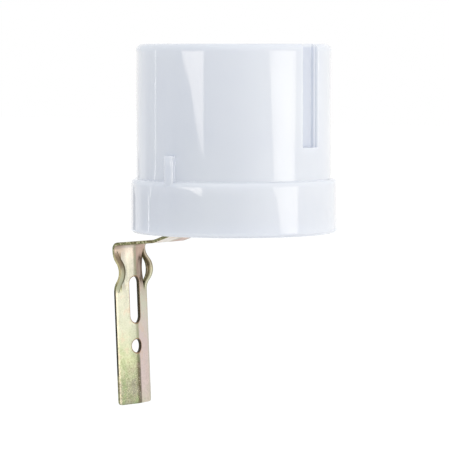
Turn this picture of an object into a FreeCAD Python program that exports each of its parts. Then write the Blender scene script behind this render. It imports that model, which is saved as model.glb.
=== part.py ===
import FreeCAD, Part
import math
import os
import Sketcher

# Dusk to dawn light sensor: a round moulded cover over a base, with the light switch inside,
# clamped by one screw to a bracket pressed from sheet.
# Millimetres, +Z up. The origin is the centre of the bracket's fixing hole, at mid-sheet on the
# fold; the cover's axis stands upright at +X of it.

driving_sizes = [
    # Where the cover stands over the bracket's fixing hole
    ("reach", 49.15, "fixing hole to the cover's axis"),
    ("rim_height", 46.9, "fixing hole up to the cover's rim"),
    # Cover
    ("cover_height", 71.2, "rim to the flat top"),
    ("ring_height", 20.3, "rim to the shoulder"),
    ("ring_radius", 39.05, "ring"),
    ("shoulder_width", 2.05, "ring's radius beyond the drum's"),
    ("cover_wall", 2.0, "moulded wall"),
    ("cover_top", 2.2, "thickness of the top"),
    ("top_round", 2.6, "outer edge of the top"),
    ("ring_round", 1.8, "upper edge of the ring"),
    ("rim_chamfer", 1.0, "lower edge of the ring"),
    ("skirt_depth", 18.2, "rim to the step inside"),
    ("flute_width", 8.5, "flute in the drum"),
    ("flute_depth", 3.0, "flute's floor below the drum's surface"),
    ("flute_length", 38.5, "flute, from the top down"),
    ("flute_round", 0.8, "flute's long edges"),
    ("catch_width", 4.2, "catch housing on the shoulder"),
    ("catch_rise", 9.6, "catch housing above the shoulder"),
    ("catch_round", 0.6, "catch housing's upright edges"),
    ("window_width", 2.6, "catch window inside its housing"),
    ("window_height", 4.4, "catch window"),
    ("window_depth", 1.5, "catch window, into the wall"),
    # Base
    ("base_recess", 3.4, "rim up to the base's underside"),
    ("base_floor", 2.4, "floor of the base"),
    ("base_wall", 1.8, "collar round the base"),
    ("base_gap", 0.25, "base inside the skirt, on the radius"),
    ("step_gap", 0.2, "collar under the step"),
    ("base_chamfer", 0.8, "base's lower edge"),
    ("nut_boss_radius", 6.6, "boss round the nut"),
    ("nut_boss_height", 3.6, "boss above the floor"),
    ("nut_play", 0.12, "nut in its pocket, all round"),
    ("outlet_radius", 4.5, "hole for the leads"),
    ("outlet_offset", 15.0, "hole for the leads, from the axis"),
    ("outlet_wall", 1.6, "collar round that hole"),
    ("outlet_collar", 4.0, "that collar above the floor"),
    ("post_width", 6.4, "board post behind the board's edge"),
    ("post_depth", 8.0, "board post, front to back"),
    ("post_height", 28.0, "board post above the floor"),
    ("post_lap", 3.4, "board's edge in front of the post"),
    ("board_seat", 8.6, "floor up to the board's lower edge"),
    ("tongue_width", 8.0, "snap tongue"),
    ("tongue_thickness", 1.9, "snap tongue"),
    ("tongue_gap", 0.3, "tongue inside the drum, on the radius"),
    ("barb_width", 2.0, "barb on the tongue"),
    ("barb_proud", 1.2, "barb beyond the tongue"),
    ("barb_height", 3.2, "barb"),
    ("barb_play", 0.3, "barb under the window's upper edge"),
    # Bracket
    ("sheet", 1.2, "bracket's sheet"),
    ("strip_width", 18.4, "bracket's strip"),
    ("fold_angle", 12.0, "each side of the fold, from flat"),
    ("fold_round", 3.4, "fold's outer radius down the leg"),
    ("lean", 2.8, "leg, off upright"),
    ("arm_slope", 5.5, "arm, rising towards the cover"),
    ("corner_drop", 6.57, "cover's rim down to the corner of leg and arm"),
    ("leg_below", 22.6, "leg below the fixing hole"),
    ("bend_radius", 2.1, "bend at mid-sheet"),
    ("bend_lap", 0.3, "bend carried down the leg"),
    ("ramp_start", 32.5, "ramp's foot to the cover's axis"),
    ("ramp_angle", 19.0, "ramp up into the recess"),
    ("ramp_round", 3.0, "ramp's bends at mid-sheet"),
    ("pad_beyond", 9.0, "pad past the cover's axis"),
    ("pad_corner", 6.5, "pad's outline corners"),
    ("leg_corner", 1.3, "leg's lower corners"),
    ("fixing_radius", 2.65, "fixing hole"),
    ("slot_width", 5.6, "fixing slot"),
    ("slot_length", 18.2, "fixing slot, end to end"),
    ("slot_rise", 18.15, "fixing hole up to the slot's middle"),
    ("strap_drop", 10.38, "that corner down to the strap loops' middle"),
    ("strap_width", 3.0, "strap loop's band"),
    ("strap_slit", 0.35, "slit beside the band"),
    ("strap_angle", 41.0, "band's steepest slope"),
    ("strap_radius", 6.15, "band's curves at mid-sheet"),
    ("strap_lap", 0.25, "band's ends inside the sheet"),
    # Clamp screw, washers and nut
    ("screw_radius", 1.97, "screw shank"),
    ("screw_length", 12.0, "screw below its head"),
    ("screw_tip", 0.5, "screw's end chamfer"),
    ("head_radius", 4.0, "screw head"),
    ("head_height", 2.4, "screw head"),
    ("head_chamfer", 1.2, "screw head's edge"),
    ("recess_width", 0.9, "cross recess's slot"),
    ("recess_length", 4.4, "cross recess, across"),
    ("recess_depth", 1.5, "cross recess"),
    ("pivot_play", 0.08, "screw in the bracket's pad, on the radius"),
    ("screw_play", 0.23, "screw in the base, on the radius"),
    ("thread_play", 0.05, "screw in its nut, on the radius"),
    ("washer_radius", 4.5, "flat washer"),
    ("washer_height", 0.8, "flat washer"),
    ("washer_play", 0.18, "washers round the screw, on the radius"),
    ("spring_radius", 3.8, "spring washer"),
    ("spring_height", 1.0, "spring washer"),
    ("spring_opening", 12.0, "spring washer's cut, in degrees"),
    ("nut_flats", 7.0, "nut across flats"),
    ("nut_height", 3.2, "nut"),
    ("nut_chamfer", 0.35, "nut's upper corners"),
    # Circuit board and its screws
    ("board_side", 9.0, "board's edge inside the drum's bore"),
    ("board_thickness", 1.6, "board"),
    ("board_corner", 2.0, "board's cut corners"),
    ("fixing_rise", 8.0, "board screws above the board's lower edge"),
    ("fixing_inset", 1.9, "board screws inside the board's edge"),
    ("tapper_radius", 1.1, "board screw's shank"),
    ("tapper_head", 2.1, "board screw's head radius"),
    ("tapper_head_height", 1.5, "board screw's head"),
    ("tapper_length", 7.0, "board screw below its head"),
    ("tapper_play", 0.06, "board screw in its holes"),
    # Parts on the board: a lower row, a row of cans and a row of small parts
    ("part_gap", 1.0, "between neighbours in a row"),
    ("lower_start", -13.0, "lower row's left end, from the board's middle"),
    ("lower_clear", 1.5, "lower row above the board's lower edge"),
    ("upper_start", -18.4, "both upper rows' left end, from the board's middle"),
    ("can_row", 13.2, "row of cans below the board's upper edge"),
    ("small_row", 4.2, "row of small parts below the board's upper edge"),
    ("relay_width", 19.2, "relay can"),
    ("relay_height", 15.5, "relay can"),
    ("relay_depth", 15.8, "relay can"),
    ("film_width", 7.0, "film capacitor"),
    ("film_height", 13.0, "film capacitor"),
    ("film_depth", 12.0, "film capacitor"),
    ("can_edge", 0.6, "edges of both, cut off"),
    ("smoothing_radius", 5.0, "smoothing capacitor"),
    ("smoothing_length", 14.0, "smoothing capacitor"),
    ("delay_radius", 3.2, "delay capacitor"),
    ("delay_length", 10.0, "delay capacitor"),
    ("varistor_radius", 5.0, "varistor disc"),
    ("varistor_thickness", 3.6, "varistor disc"),
    ("varistor_clear", 2.5, "varistor's disc off the board"),
    ("wire_radius", 0.35, "leads of the parts, to their corners"),
    ("wire_run", 1.4, "lead beyond a small part's end"),
    ("part_clear", 0.9, "small parts off the board"),
    ("diode_radius", 1.35, "rectifier diode"),
    ("diode_length", 5.0, "rectifier diode"),
    ("diode_pitch", 3.6, "rectifier diodes side by side"),
    ("small_diode_radius", 0.95, "zener and coil diodes"),
    ("small_diode_length", 3.6, "zener and coil diodes"),
    ("stack_pitch", 3.2, "small parts one above the other"),
    ("resistor_radius", 1.2, "signal resistor"),
    ("resistor_length", 6.0, "signal resistor"),
    ("series_radius", 2.0, "series resistor"),
    ("series_length", 9.0, "series resistor"),
    ("transistor_radius", 2.3, "transistor's round back"),
    ("transistor_flat", 1.3, "transistor's flat, from its middle"),
    ("transistor_length", 4.6, "transistor"),
    ("transistor_clear", 2.6, "transistor off the board"),
    ("leg_pitch", 1.27, "transistor's legs"),
    ("leg_width", 0.6, "transistor's legs, square"),
    ("cell_radius", 2.6, "light cell"),
    ("cell_thickness", 2.1, "light cell"),
    ("cell_gap", 0.5, "light cell under the cover's top"),
    ("cell_rise", 4.0, "board's upper edge to the light cell"),
    ("cell_wire_pitch", 3.4, "light cell's two leads"),
    ("cell_wire_lap", 2.6, "its leads down the board's face"),
    ("tab_width", 4.8, "lead terminal"),
    ("tab_thickness", 0.8, "lead terminal"),
    ("tab_length", 9.0, "lead terminal, off the board's back"),
    ("tab_pitch", 9.0, "lead terminals side by side"),
    ("tab_up", 9.0, "lead terminals above the board's lower edge"),
    ("tab_corner", 1.2, "lead terminal's cut corners"),
]

doc = FreeCAD.newDocument("light_sensor")
sheet = doc.addObject("Spreadsheet::Sheet", "Sizes")
pieces = []


class Size:
    # A number together with the sheet formula that gives it, so both follow the same arithmetic.
    def __init__(self, value, formula):
        self.value = value
        self.formula = formula

    def __add__(self, other):
        other = as_size(other)
        return Size(self.value + other.value, f"({self.formula} + {other.formula})")

    def __radd__(self, other):
        return as_size(other) + self

    def __sub__(self, other):
        other = as_size(other)
        return Size(self.value - other.value, f"({self.formula} - {other.formula})")

    def __rsub__(self, other):
        return as_size(other) - self

    def __mul__(self, other):
        other = as_size(other)
        return Size(self.value * other.value, f"({self.formula} * {other.formula})")

    def __rmul__(self, other):
        return as_size(other) * self

    def __truediv__(self, other):
        other = as_size(other)
        return Size(self.value / other.value, f"({self.formula} / {other.formula})")

    def __neg__(self):
        return Size(-self.value, f"(-1 * {self.formula})")


class Names:
    pass


def as_size(number):
    return number if isinstance(number, Size) else Size(number, f"({number})")


def cosine(angle):
    return Size(math.cos(math.radians(angle.value)), f"cos({angle.formula})")


def sine(angle):
    return Size(math.sin(math.radians(angle.value)), f"sin({angle.formula})")


def tangent(angle):
    return Size(math.tan(math.radians(angle.value)), f"tan({angle.formula})")


def root(square):
    return Size(math.sqrt(square.value), f"sqrt({square.formula})")


s = Names()
for row, (name, value, meaning) in enumerate(driving_sizes, start=1):
    sheet.set(f"A{row}", meaning)
    sheet.set(f"B{row}", str(value))
    sheet.setAlias(f"B{row}", name)
    setattr(s, name, Size(value, f"Sizes.{name}"))
doc.recompute()

upright = as_size(90)
hexagon_half = as_size(30)
body_sides = 8
wire_sides = 6
tapper_sides = 12

# Sizes that follow from them
s.drum_radius = s.ring_radius - s.shoulder_width
s.corner_rise = s.rim_height - s.corner_drop
s.strap_rise = s.corner_rise - s.strap_drop
s.board_width = 2 * (s.drum_radius - s.cover_wall - s.board_side)
s.board_low = s.base_recess + s.base_floor + s.board_seat
s.board_high = s.cover_height - s.cover_top - s.cell_gap - s.cell_thickness - s.cell_rise


# Helpers for bodies, sketches and features

def bind(thing, path, size):
    # A plain number stays a number; a Size follows the sheet
    if isinstance(size, Size):
        thing.setExpression(path, size.formula)
    elif size:
        thing.setExpression(path, str(size))


def stand_in_cover(thing):
    # What belongs to the cover is drawn round its axis, from its rim
    bind(thing, "Placement.Base.x", s.reach)
    bind(thing, "Placement.Base.z", s.rim_height)


def new_body(name, in_cover=True):
    body = doc.addObject("PartDesign::Body", name)
    body.Label = name
    if in_cover:
        stand_in_cover(body)
    pieces.append(body)
    return body


def origin_plane(body, role):
    return next(feature for feature in body.Origin.OriginFeatures if feature.Role == role)


def new_sketch(body, name, role, offset=(0, 0, 0)):
    sketch = body.newObject("Sketcher::SketchObject", name)
    sketch.AttachmentSupport = (origin_plane(body, role), "")
    sketch.MapMode = "FlatFace"
    for axis, amount in zip("xyz", offset):
        bind(sketch, f"AttachmentOffset.Base.{axis}", amount)
    return sketch


def fix_point(sketch, geometry, position, x, y):
    # A point of the sketch, held by its two distances from the sketch's origin
    for kind, amount, axis in (("DistanceX", x, -2), ("DistanceY", y, -1)):
        amount = as_size(amount)
        if amount.formula in ("(0)", "(0.0)"):
            sketch.addConstraint(Sketcher.Constraint("PointOnObject", geometry, position, axis))
        else:
            index = sketch.addConstraint(
                Sketcher.Constraint(kind, -1, 1, geometry, position, amount.value))
            sketch.setExpression(f"Constraints[{index}]", amount.formula)


def fix_radius(sketch, geometry, radius):
    radius = as_size(radius)
    index = sketch.addConstraint(Sketcher.Constraint("Radius", geometry, radius.value))
    sketch.setExpression(f"Constraints[{index}]", radius.formula)


def arc_between(start, end, radius, side):
    # The shorter arc; its centre is to the left of start-to-end when side is 1, right when -1
    chord = end - start
    left = FreeCAD.Vector(-chord.y, chord.x, 0).normalize()
    rise = math.sqrt(max(radius ** 2 - (chord.Length / 2) ** 2, 0))
    centre = (start + end) * 0.5 + left * (side * rise)
    return Part.Arc(start, centre - left * (side * radius), end)


def draw_outline(sketch, corners):
    # Closed outline. A corner is (x, y), or (x, y, radius, side) where an arc leads to the next
    points = [FreeCAD.Vector(as_size(c[0]).value, as_size(c[1]).value, 0) for c in corners]
    ends = []
    for index, corner in enumerate(corners):
        start = points[index]
        end = points[(index + 1) % len(points)]
        if len(corner) == 2:
            geometry = sketch.addGeometry(Part.LineSegment(start, end))
            ends.append((geometry, 1, 2))
        else:
            side = corner[3]
            geometry = sketch.addGeometry(arc_between(start, end, as_size(corner[2]).value, side))
            ends.append((geometry, 1, 2) if side > 0 else (geometry, 2, 1))
    for index, (geometry, first, last) in enumerate(ends):
        following = ends[(index + 1) % len(ends)]
        sketch.addConstraint(Sketcher.Constraint("Coincident", geometry, last, following[0], following[1]))
    for corner, (geometry, first, last) in zip(corners, ends):
        fix_point(sketch, geometry, first, corner[0], corner[1])
        if len(corner) == 4:
            fix_radius(sketch, geometry, corner[2])


def draw_box(sketch, low_x, low_y, high_x, high_y):
    draw_outline(sketch, [(low_x, low_y), (high_x, low_y), (high_x, high_y), (low_x, high_y)])


def draw_circle(sketch, x, y, radius):
    centre = FreeCAD.Vector(as_size(x).value, as_size(y).value, 0)
    geometry = sketch.addGeometry(Part.Circle(centre, FreeCAD.Vector(0, 0, 1), as_size(radius).value))
    fix_point(sketch, geometry, 3, x, y)
    fix_radius(sketch, geometry, radius)


def draw_hexagon(sketch, flats):
    # Corners on the sketch's X axis
    half = flats / 2
    corner = half / cosine(hexagon_half)
    draw_outline(sketch, [(corner, 0), (corner / 2, half), (-(corner / 2), half),
                          (-corner, 0), (-(corner / 2), -half), (corner / 2, -half)])


def turned_round(x, y, radius, first_angle, flats):
    # Corners of a quarter round about x, y, anticlockwise, turned as a few flats
    corners = []
    for count in range(flats + 1):
        angle = as_size(first_angle + 90 * count / flats)
        corners.append((x + radius * cosine(angle), y + radius * sine(angle)))
    return corners


def pad(body, sketch, length, name, reverse=False, both_ways=False):
    feature = body.newObject("PartDesign::Pad", name)
    feature.Profile = sketch
    bind(feature, "Length", length)
    feature.Reversed = reverse
    if both_ways:
        feature.SideType = "Symmetric"
    return feature


def pocket(body, sketch, length, name, reverse=False, both_ways=False):
    feature = body.newObject("PartDesign::Pocket", name)
    feature.Profile = sketch
    bind(feature, "Length", length)
    feature.Reversed = reverse
    if both_ways:
        feature.SideType = "Symmetric"
    return feature


def revolve(body, sketch, name, angle=360):
    feature = body.newObject("PartDesign::Revolution", name)
    feature.Profile = sketch
    feature.ReferenceAxis = (sketch, ["V_Axis"])
    bind(feature, "Angle", angle)
    return feature


def mirror(body, features, role, name):
    feature = body.newObject("PartDesign::Mirrored", name)
    feature.Originals = features
    feature.MirrorPlane = (origin_plane(body, role), [""])
    body.Tip = feature
    return feature


def dress_edges(body, kind, size, name, wanted):
    # A Fillet or Chamfer on the edges of the body so far for which wanted(edge) is true
    doc.recompute()
    base = body.Tip
    names = [f"Edge{n}" for n, edge in enumerate(base.Shape.Edges, start=1) if wanted(edge)]
    if not names:
        raise ValueError(f"{body.Label}: no edge found for {name}")
    feature = body.newObject(f"PartDesign::{kind}", name)
    feature.Base = (base, names)
    bind(feature, "Radius" if kind == "Fillet" else "Size", size)


def near(a, b):
    return abs(a - b) < 0.01


def gather(name, things):
    group = doc.addObject("Part::Compound", name)
    group.Label = name
    group.Links = things
    stand_in_cover(group)
    pieces.append(group)
    return group


def fuse(name, things, keep=True):
    whole = doc.addObject("Part::MultiFuse", name)
    whole.Shapes = things
    if keep:
        whole.Label = name
        stand_in_cover(whole)
        pieces.append(whole)
    return whole


def lay(thing, x, y, z, towards):
    # Lays an upright thing up, across (+X), to the front (-Y) or to the rear (+Y), from the point given
    turns = {"up": (0, 0, 1, 0), "across": (0, 1, 0, 90), "front": (1, 0, 0, 90), "rear": (1, 0, 0, -90)}
    turn_x, turn_y, turn_z, angle = turns[towards]
    thing.Placement.Rotation = FreeCAD.Rotation(FreeCAD.Vector(turn_x, turn_y, turn_z), angle)
    for axis, place in zip("xyz", (x, y, z)):
        bind(thing, f"Placement.Base.{axis}", as_size(place))
    return thing


def rod(name, radius, length, x, y, z, towards):
    cylinder = doc.addObject("Part::Cylinder", name)
    bind(cylinder, "Radius", radius)
    bind(cylinder, "Height", length)
    return lay(cylinder, x, y, z, towards)


def bar(name, sides, radius, length, x, y, z, towards):
    # Small parts and their leads have flat sides, few enough to stay light
    prism = doc.addObject("Part::Prism", name)
    prism.Polygon = sides
    bind(prism, "Circumradius", radius)
    bind(prism, "Height", length)
    return lay(prism, x, y, z, towards)


# Cover

def make_cover():
    body = new_body("cover")
    bore = s.drum_radius - s.cover_wall
    ceiling = s.cover_height - s.cover_top

    shell = new_sketch(body, "cover_section", "XZ_Plane")
    draw_outline(shell, [
        (s.ring_radius - s.rim_chamfer, 0),
        (s.ring_radius, s.rim_chamfer),
        *turned_round(s.ring_radius - s.ring_round, s.ring_height - s.ring_round, s.ring_round, 0, 2),
        (s.drum_radius, s.ring_height),
        *turned_round(s.drum_radius - s.top_round, s.cover_height - s.top_round, s.top_round, 0, 3),
        (0, s.cover_height),
        (0, ceiling),
        (bore, ceiling),
        (bore, s.skirt_depth),
        (s.ring_radius - s.cover_wall, s.skirt_depth),
        (s.ring_radius - s.cover_wall, 0),
    ])
    revolve(body, shell, "cover_shell")

    # A flute in the drum on each side, with the wall carried round behind it
    floor = s.drum_radius - s.flute_depth
    half = s.flute_width / 2
    backing = new_sketch(body, "flute_backing_outline", "XY_Plane",
                         (0, 0, s.cover_height - s.flute_length - s.cover_wall))
    draw_box(backing, floor - s.cover_wall, -(half + s.cover_wall),
             bore + s.cover_wall / 2, half + s.cover_wall)
    backing_pad = pad(body, backing, s.flute_length + s.cover_wall - s.cover_top / 2, "flute_backing")
    spread = half + s.flute_round
    edge = root(s.drum_radius * s.drum_radius - spread * spread)
    flute = new_sketch(body, "flute_outline", "XY_Plane", (0, 0, s.cover_height))
    draw_outline(flute, [
        (floor, half - s.flute_round),
        (floor, s.flute_round - half, s.flute_round, 1),
        (floor + s.flute_round, -half),
        (edge - s.flute_round, -half, s.flute_round, -1),
        (edge, -spread),
        (s.drum_radius + s.flute_round, -spread),
        (s.drum_radius + s.flute_round, spread),
        (edge, spread, s.flute_round, -1),
        (edge - s.flute_round, half),
        (floor + s.flute_round, half, s.flute_round, 1),
    ])
    flute_cut = pocket(body, flute, s.flute_length, "flute")
    mirror(body, [backing_pad, flute_cut], "YZ_Plane", "second_flute")

    # A housing for each of the base's two barbs, standing on the shoulder
    half = s.catch_width / 2
    corner = half - s.catch_round
    face = root(s.ring_radius * s.ring_radius - corner * corner)
    side = face - s.catch_round
    foot = s.ring_height - s.ring_round
    catch = new_sketch(body, "catch_outline", "XY_Plane", (0, 0, foot))
    inner = s.drum_radius - s.cover_wall / 2
    draw_outline(catch, [
        (-half, -inner),
        (-half, -side, s.catch_round, 1),
        (-corner, -face, s.ring_radius, 1),
        (corner, -face, s.catch_round, 1),
        (half, -side),
        (half, -inner),
    ])
    catch_pad = pad(body, catch, s.ring_round + s.catch_rise, "catch_housing")
    window = new_sketch(body, "catch_window_outline", "XZ_Plane",
                        (0, 0, bore - s.tongue_gap))
    window_top = s.ring_height + s.catch_rise - s.cover_wall
    draw_box(window, -(s.window_width / 2), window_top - s.window_height,
             s.window_width / 2, window_top)
    window_cut = pocket(body, window, s.window_depth + s.tongue_gap, "catch_window", reverse=True)
    mirror(body, [catch_pad, window_cut], "XZ_Plane", "second_catch")
    return body


# Base

def make_base():
    body = new_body("base")
    outer = s.ring_radius - s.cover_wall - s.base_gap
    inner = outer - s.base_wall
    floor = s.base_recess + s.base_floor
    collar = s.skirt_depth - s.step_gap

    dish = new_sketch(body, "base_section", "XZ_Plane")
    draw_outline(dish, [
        (0, s.base_recess),
        (outer - s.base_chamfer, s.base_recess),
        (outer, s.base_recess + s.base_chamfer),
        (outer, collar),
        (inner, collar),
        (inner, floor),
        (0, floor),
    ])
    revolve(body, dish, "base_dish")

    # Boss with a pocket that keeps the nut from turning
    boss = new_sketch(body, "nut_boss_outline", "XY_Plane", (0, 0, s.base_recess))
    draw_circle(boss, 0, 0, s.nut_boss_radius)
    pad(body, boss, s.base_floor + s.nut_boss_height, "nut_boss")
    nut_pocket = new_sketch(body, "nut_pocket_outline", "XY_Plane",
                            (0, 0, floor + s.nut_boss_height))
    draw_hexagon(nut_pocket, s.nut_flats + 2 * s.nut_play)
    pocket(body, nut_pocket, s.nut_boss_height, "nut_pocket")
    screw_hole = new_sketch(body, "screw_hole_outline", "XY_Plane", (0, 0, floor))
    draw_circle(screw_hole, 0, 0, s.screw_radius + s.screw_play)
    pocket(body, screw_hole, s.base_floor, "screw_hole")

    # A post behind each edge of the board, with a hole for its screw
    edge = s.board_width / 2
    near_side = edge - s.post_lap
    front = s.board_thickness / 2
    post = new_sketch(body, "post_outline", "XY_Plane", (0, 0, s.base_recess))
    draw_box(post, near_side, front, near_side + s.post_width, front + s.post_depth)
    post_pad = pad(body, post, s.base_floor + s.post_height, "board_post")
    tap = new_sketch(body, "post_hole_outline", "XZ_Plane")
    draw_circle(tap, edge - s.fixing_inset, s.board_low + s.fixing_rise, s.tapper_radius + s.tapper_play)
    tap_cut = pocket(body, tap, (front + s.post_depth) * 2, "post_hole", both_ways=True)
    mirror(body, [post_pad, tap_cut], "YZ_Plane", "second_post")

    # Hole for the leads, in a raised collar
    outlet_collar = new_sketch(body, "outlet_collar_outline", "XY_Plane", (0, 0, s.base_recess))
    draw_circle(outlet_collar, s.outlet_offset, 0, s.outlet_radius + s.outlet_wall)
    pad(body, outlet_collar, s.base_floor + s.outlet_collar, "outlet_collar")
    outlet = new_sketch(body, "outlet_outline", "XY_Plane", (0, 0, floor + s.outlet_collar))
    draw_circle(outlet, s.outlet_offset, 0, s.outlet_radius)
    pocket(body, outlet, s.base_floor + s.outlet_collar, "lead_outlet")

    # A tongue on each side snaps its barb into the cover's catch window
    bore = s.drum_radius - s.cover_wall
    tongue_face = bore - s.tongue_gap
    window_top = s.ring_height + s.catch_rise - s.cover_wall
    barb_top = window_top - s.barb_play
    half = s.tongue_width / 2
    back = tongue_face - s.tongue_thickness
    tongue = new_sketch(body, "tongue_outline", "XY_Plane", (0, 0, s.base_recess))
    draw_outline(tongue, [
        (-half, -root(back * back - half * half)),
        (-half, -root(tongue_face * tongue_face - half * half), tongue_face, 1),
        (half, -root(tongue_face * tongue_face - half * half)),
        (half, -root(back * back - half * half), back, -1),
    ])
    tongue_pad = pad(body, tongue, barb_top + s.barb_play - s.base_recess, "snap_tongue")
    barb = new_sketch(body, "barb_outline", "YZ_Plane")
    draw_outline(barb, [
        (-(tongue_face - s.tongue_thickness / 2), barb_top - s.barb_height),
        (-(tongue_face + s.barb_proud), barb_top - s.barb_height),
        (-tongue_face, barb_top),
        (-(tongue_face - s.tongue_thickness / 2), barb_top),
    ])
    barb_pad = pad(body, barb, s.barb_width, "snap_barb", both_ways=True)
    mirror(body, [tongue_pad, barb_pad], "XZ_Plane", "second_tongue")
    return body


# Bracket: one strip of sheet, bent, folded along the leg and lanced for a strap

def along(start, angle, distance):
    return (start[0] + cosine(angle) * distance, start[1] + sine(angle) * distance)


def aside(point, angle, distance):
    # To the left of the direction when distance is positive
    return (point[0] - sine(angle) * distance, point[1] + cosine(angle) * distance)


def strip_outline(start, bends, end, first_angle, thickness):
    # Section of a bent strip about its mid-line. A bend is its corner point, the angle after it,
    # its mid radius, and 1 for a turn to the left or -1 for one to the right.
    half = thickness / 2
    angle = first_angle
    left = [aside(start, angle, half)]
    right = [aside(start, angle, -half)]
    for corner, after, radius, turn in bends:
        setback = radius * tangent((after - angle) * turn / 2)
        first = along(corner, angle, -setback)
        last = along(corner, after, setback)
        left += [aside(first, angle, half) + (radius - half * turn, turn), aside(last, after, half)]
        right += [aside(first, angle, -half), aside(last, after, -half) + (radius + half * turn, -turn)]
        angle = after
    left.append(aside(end, angle, half))
    right.append(aside(end, angle, -half))
    return left + right[::-1]


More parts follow.
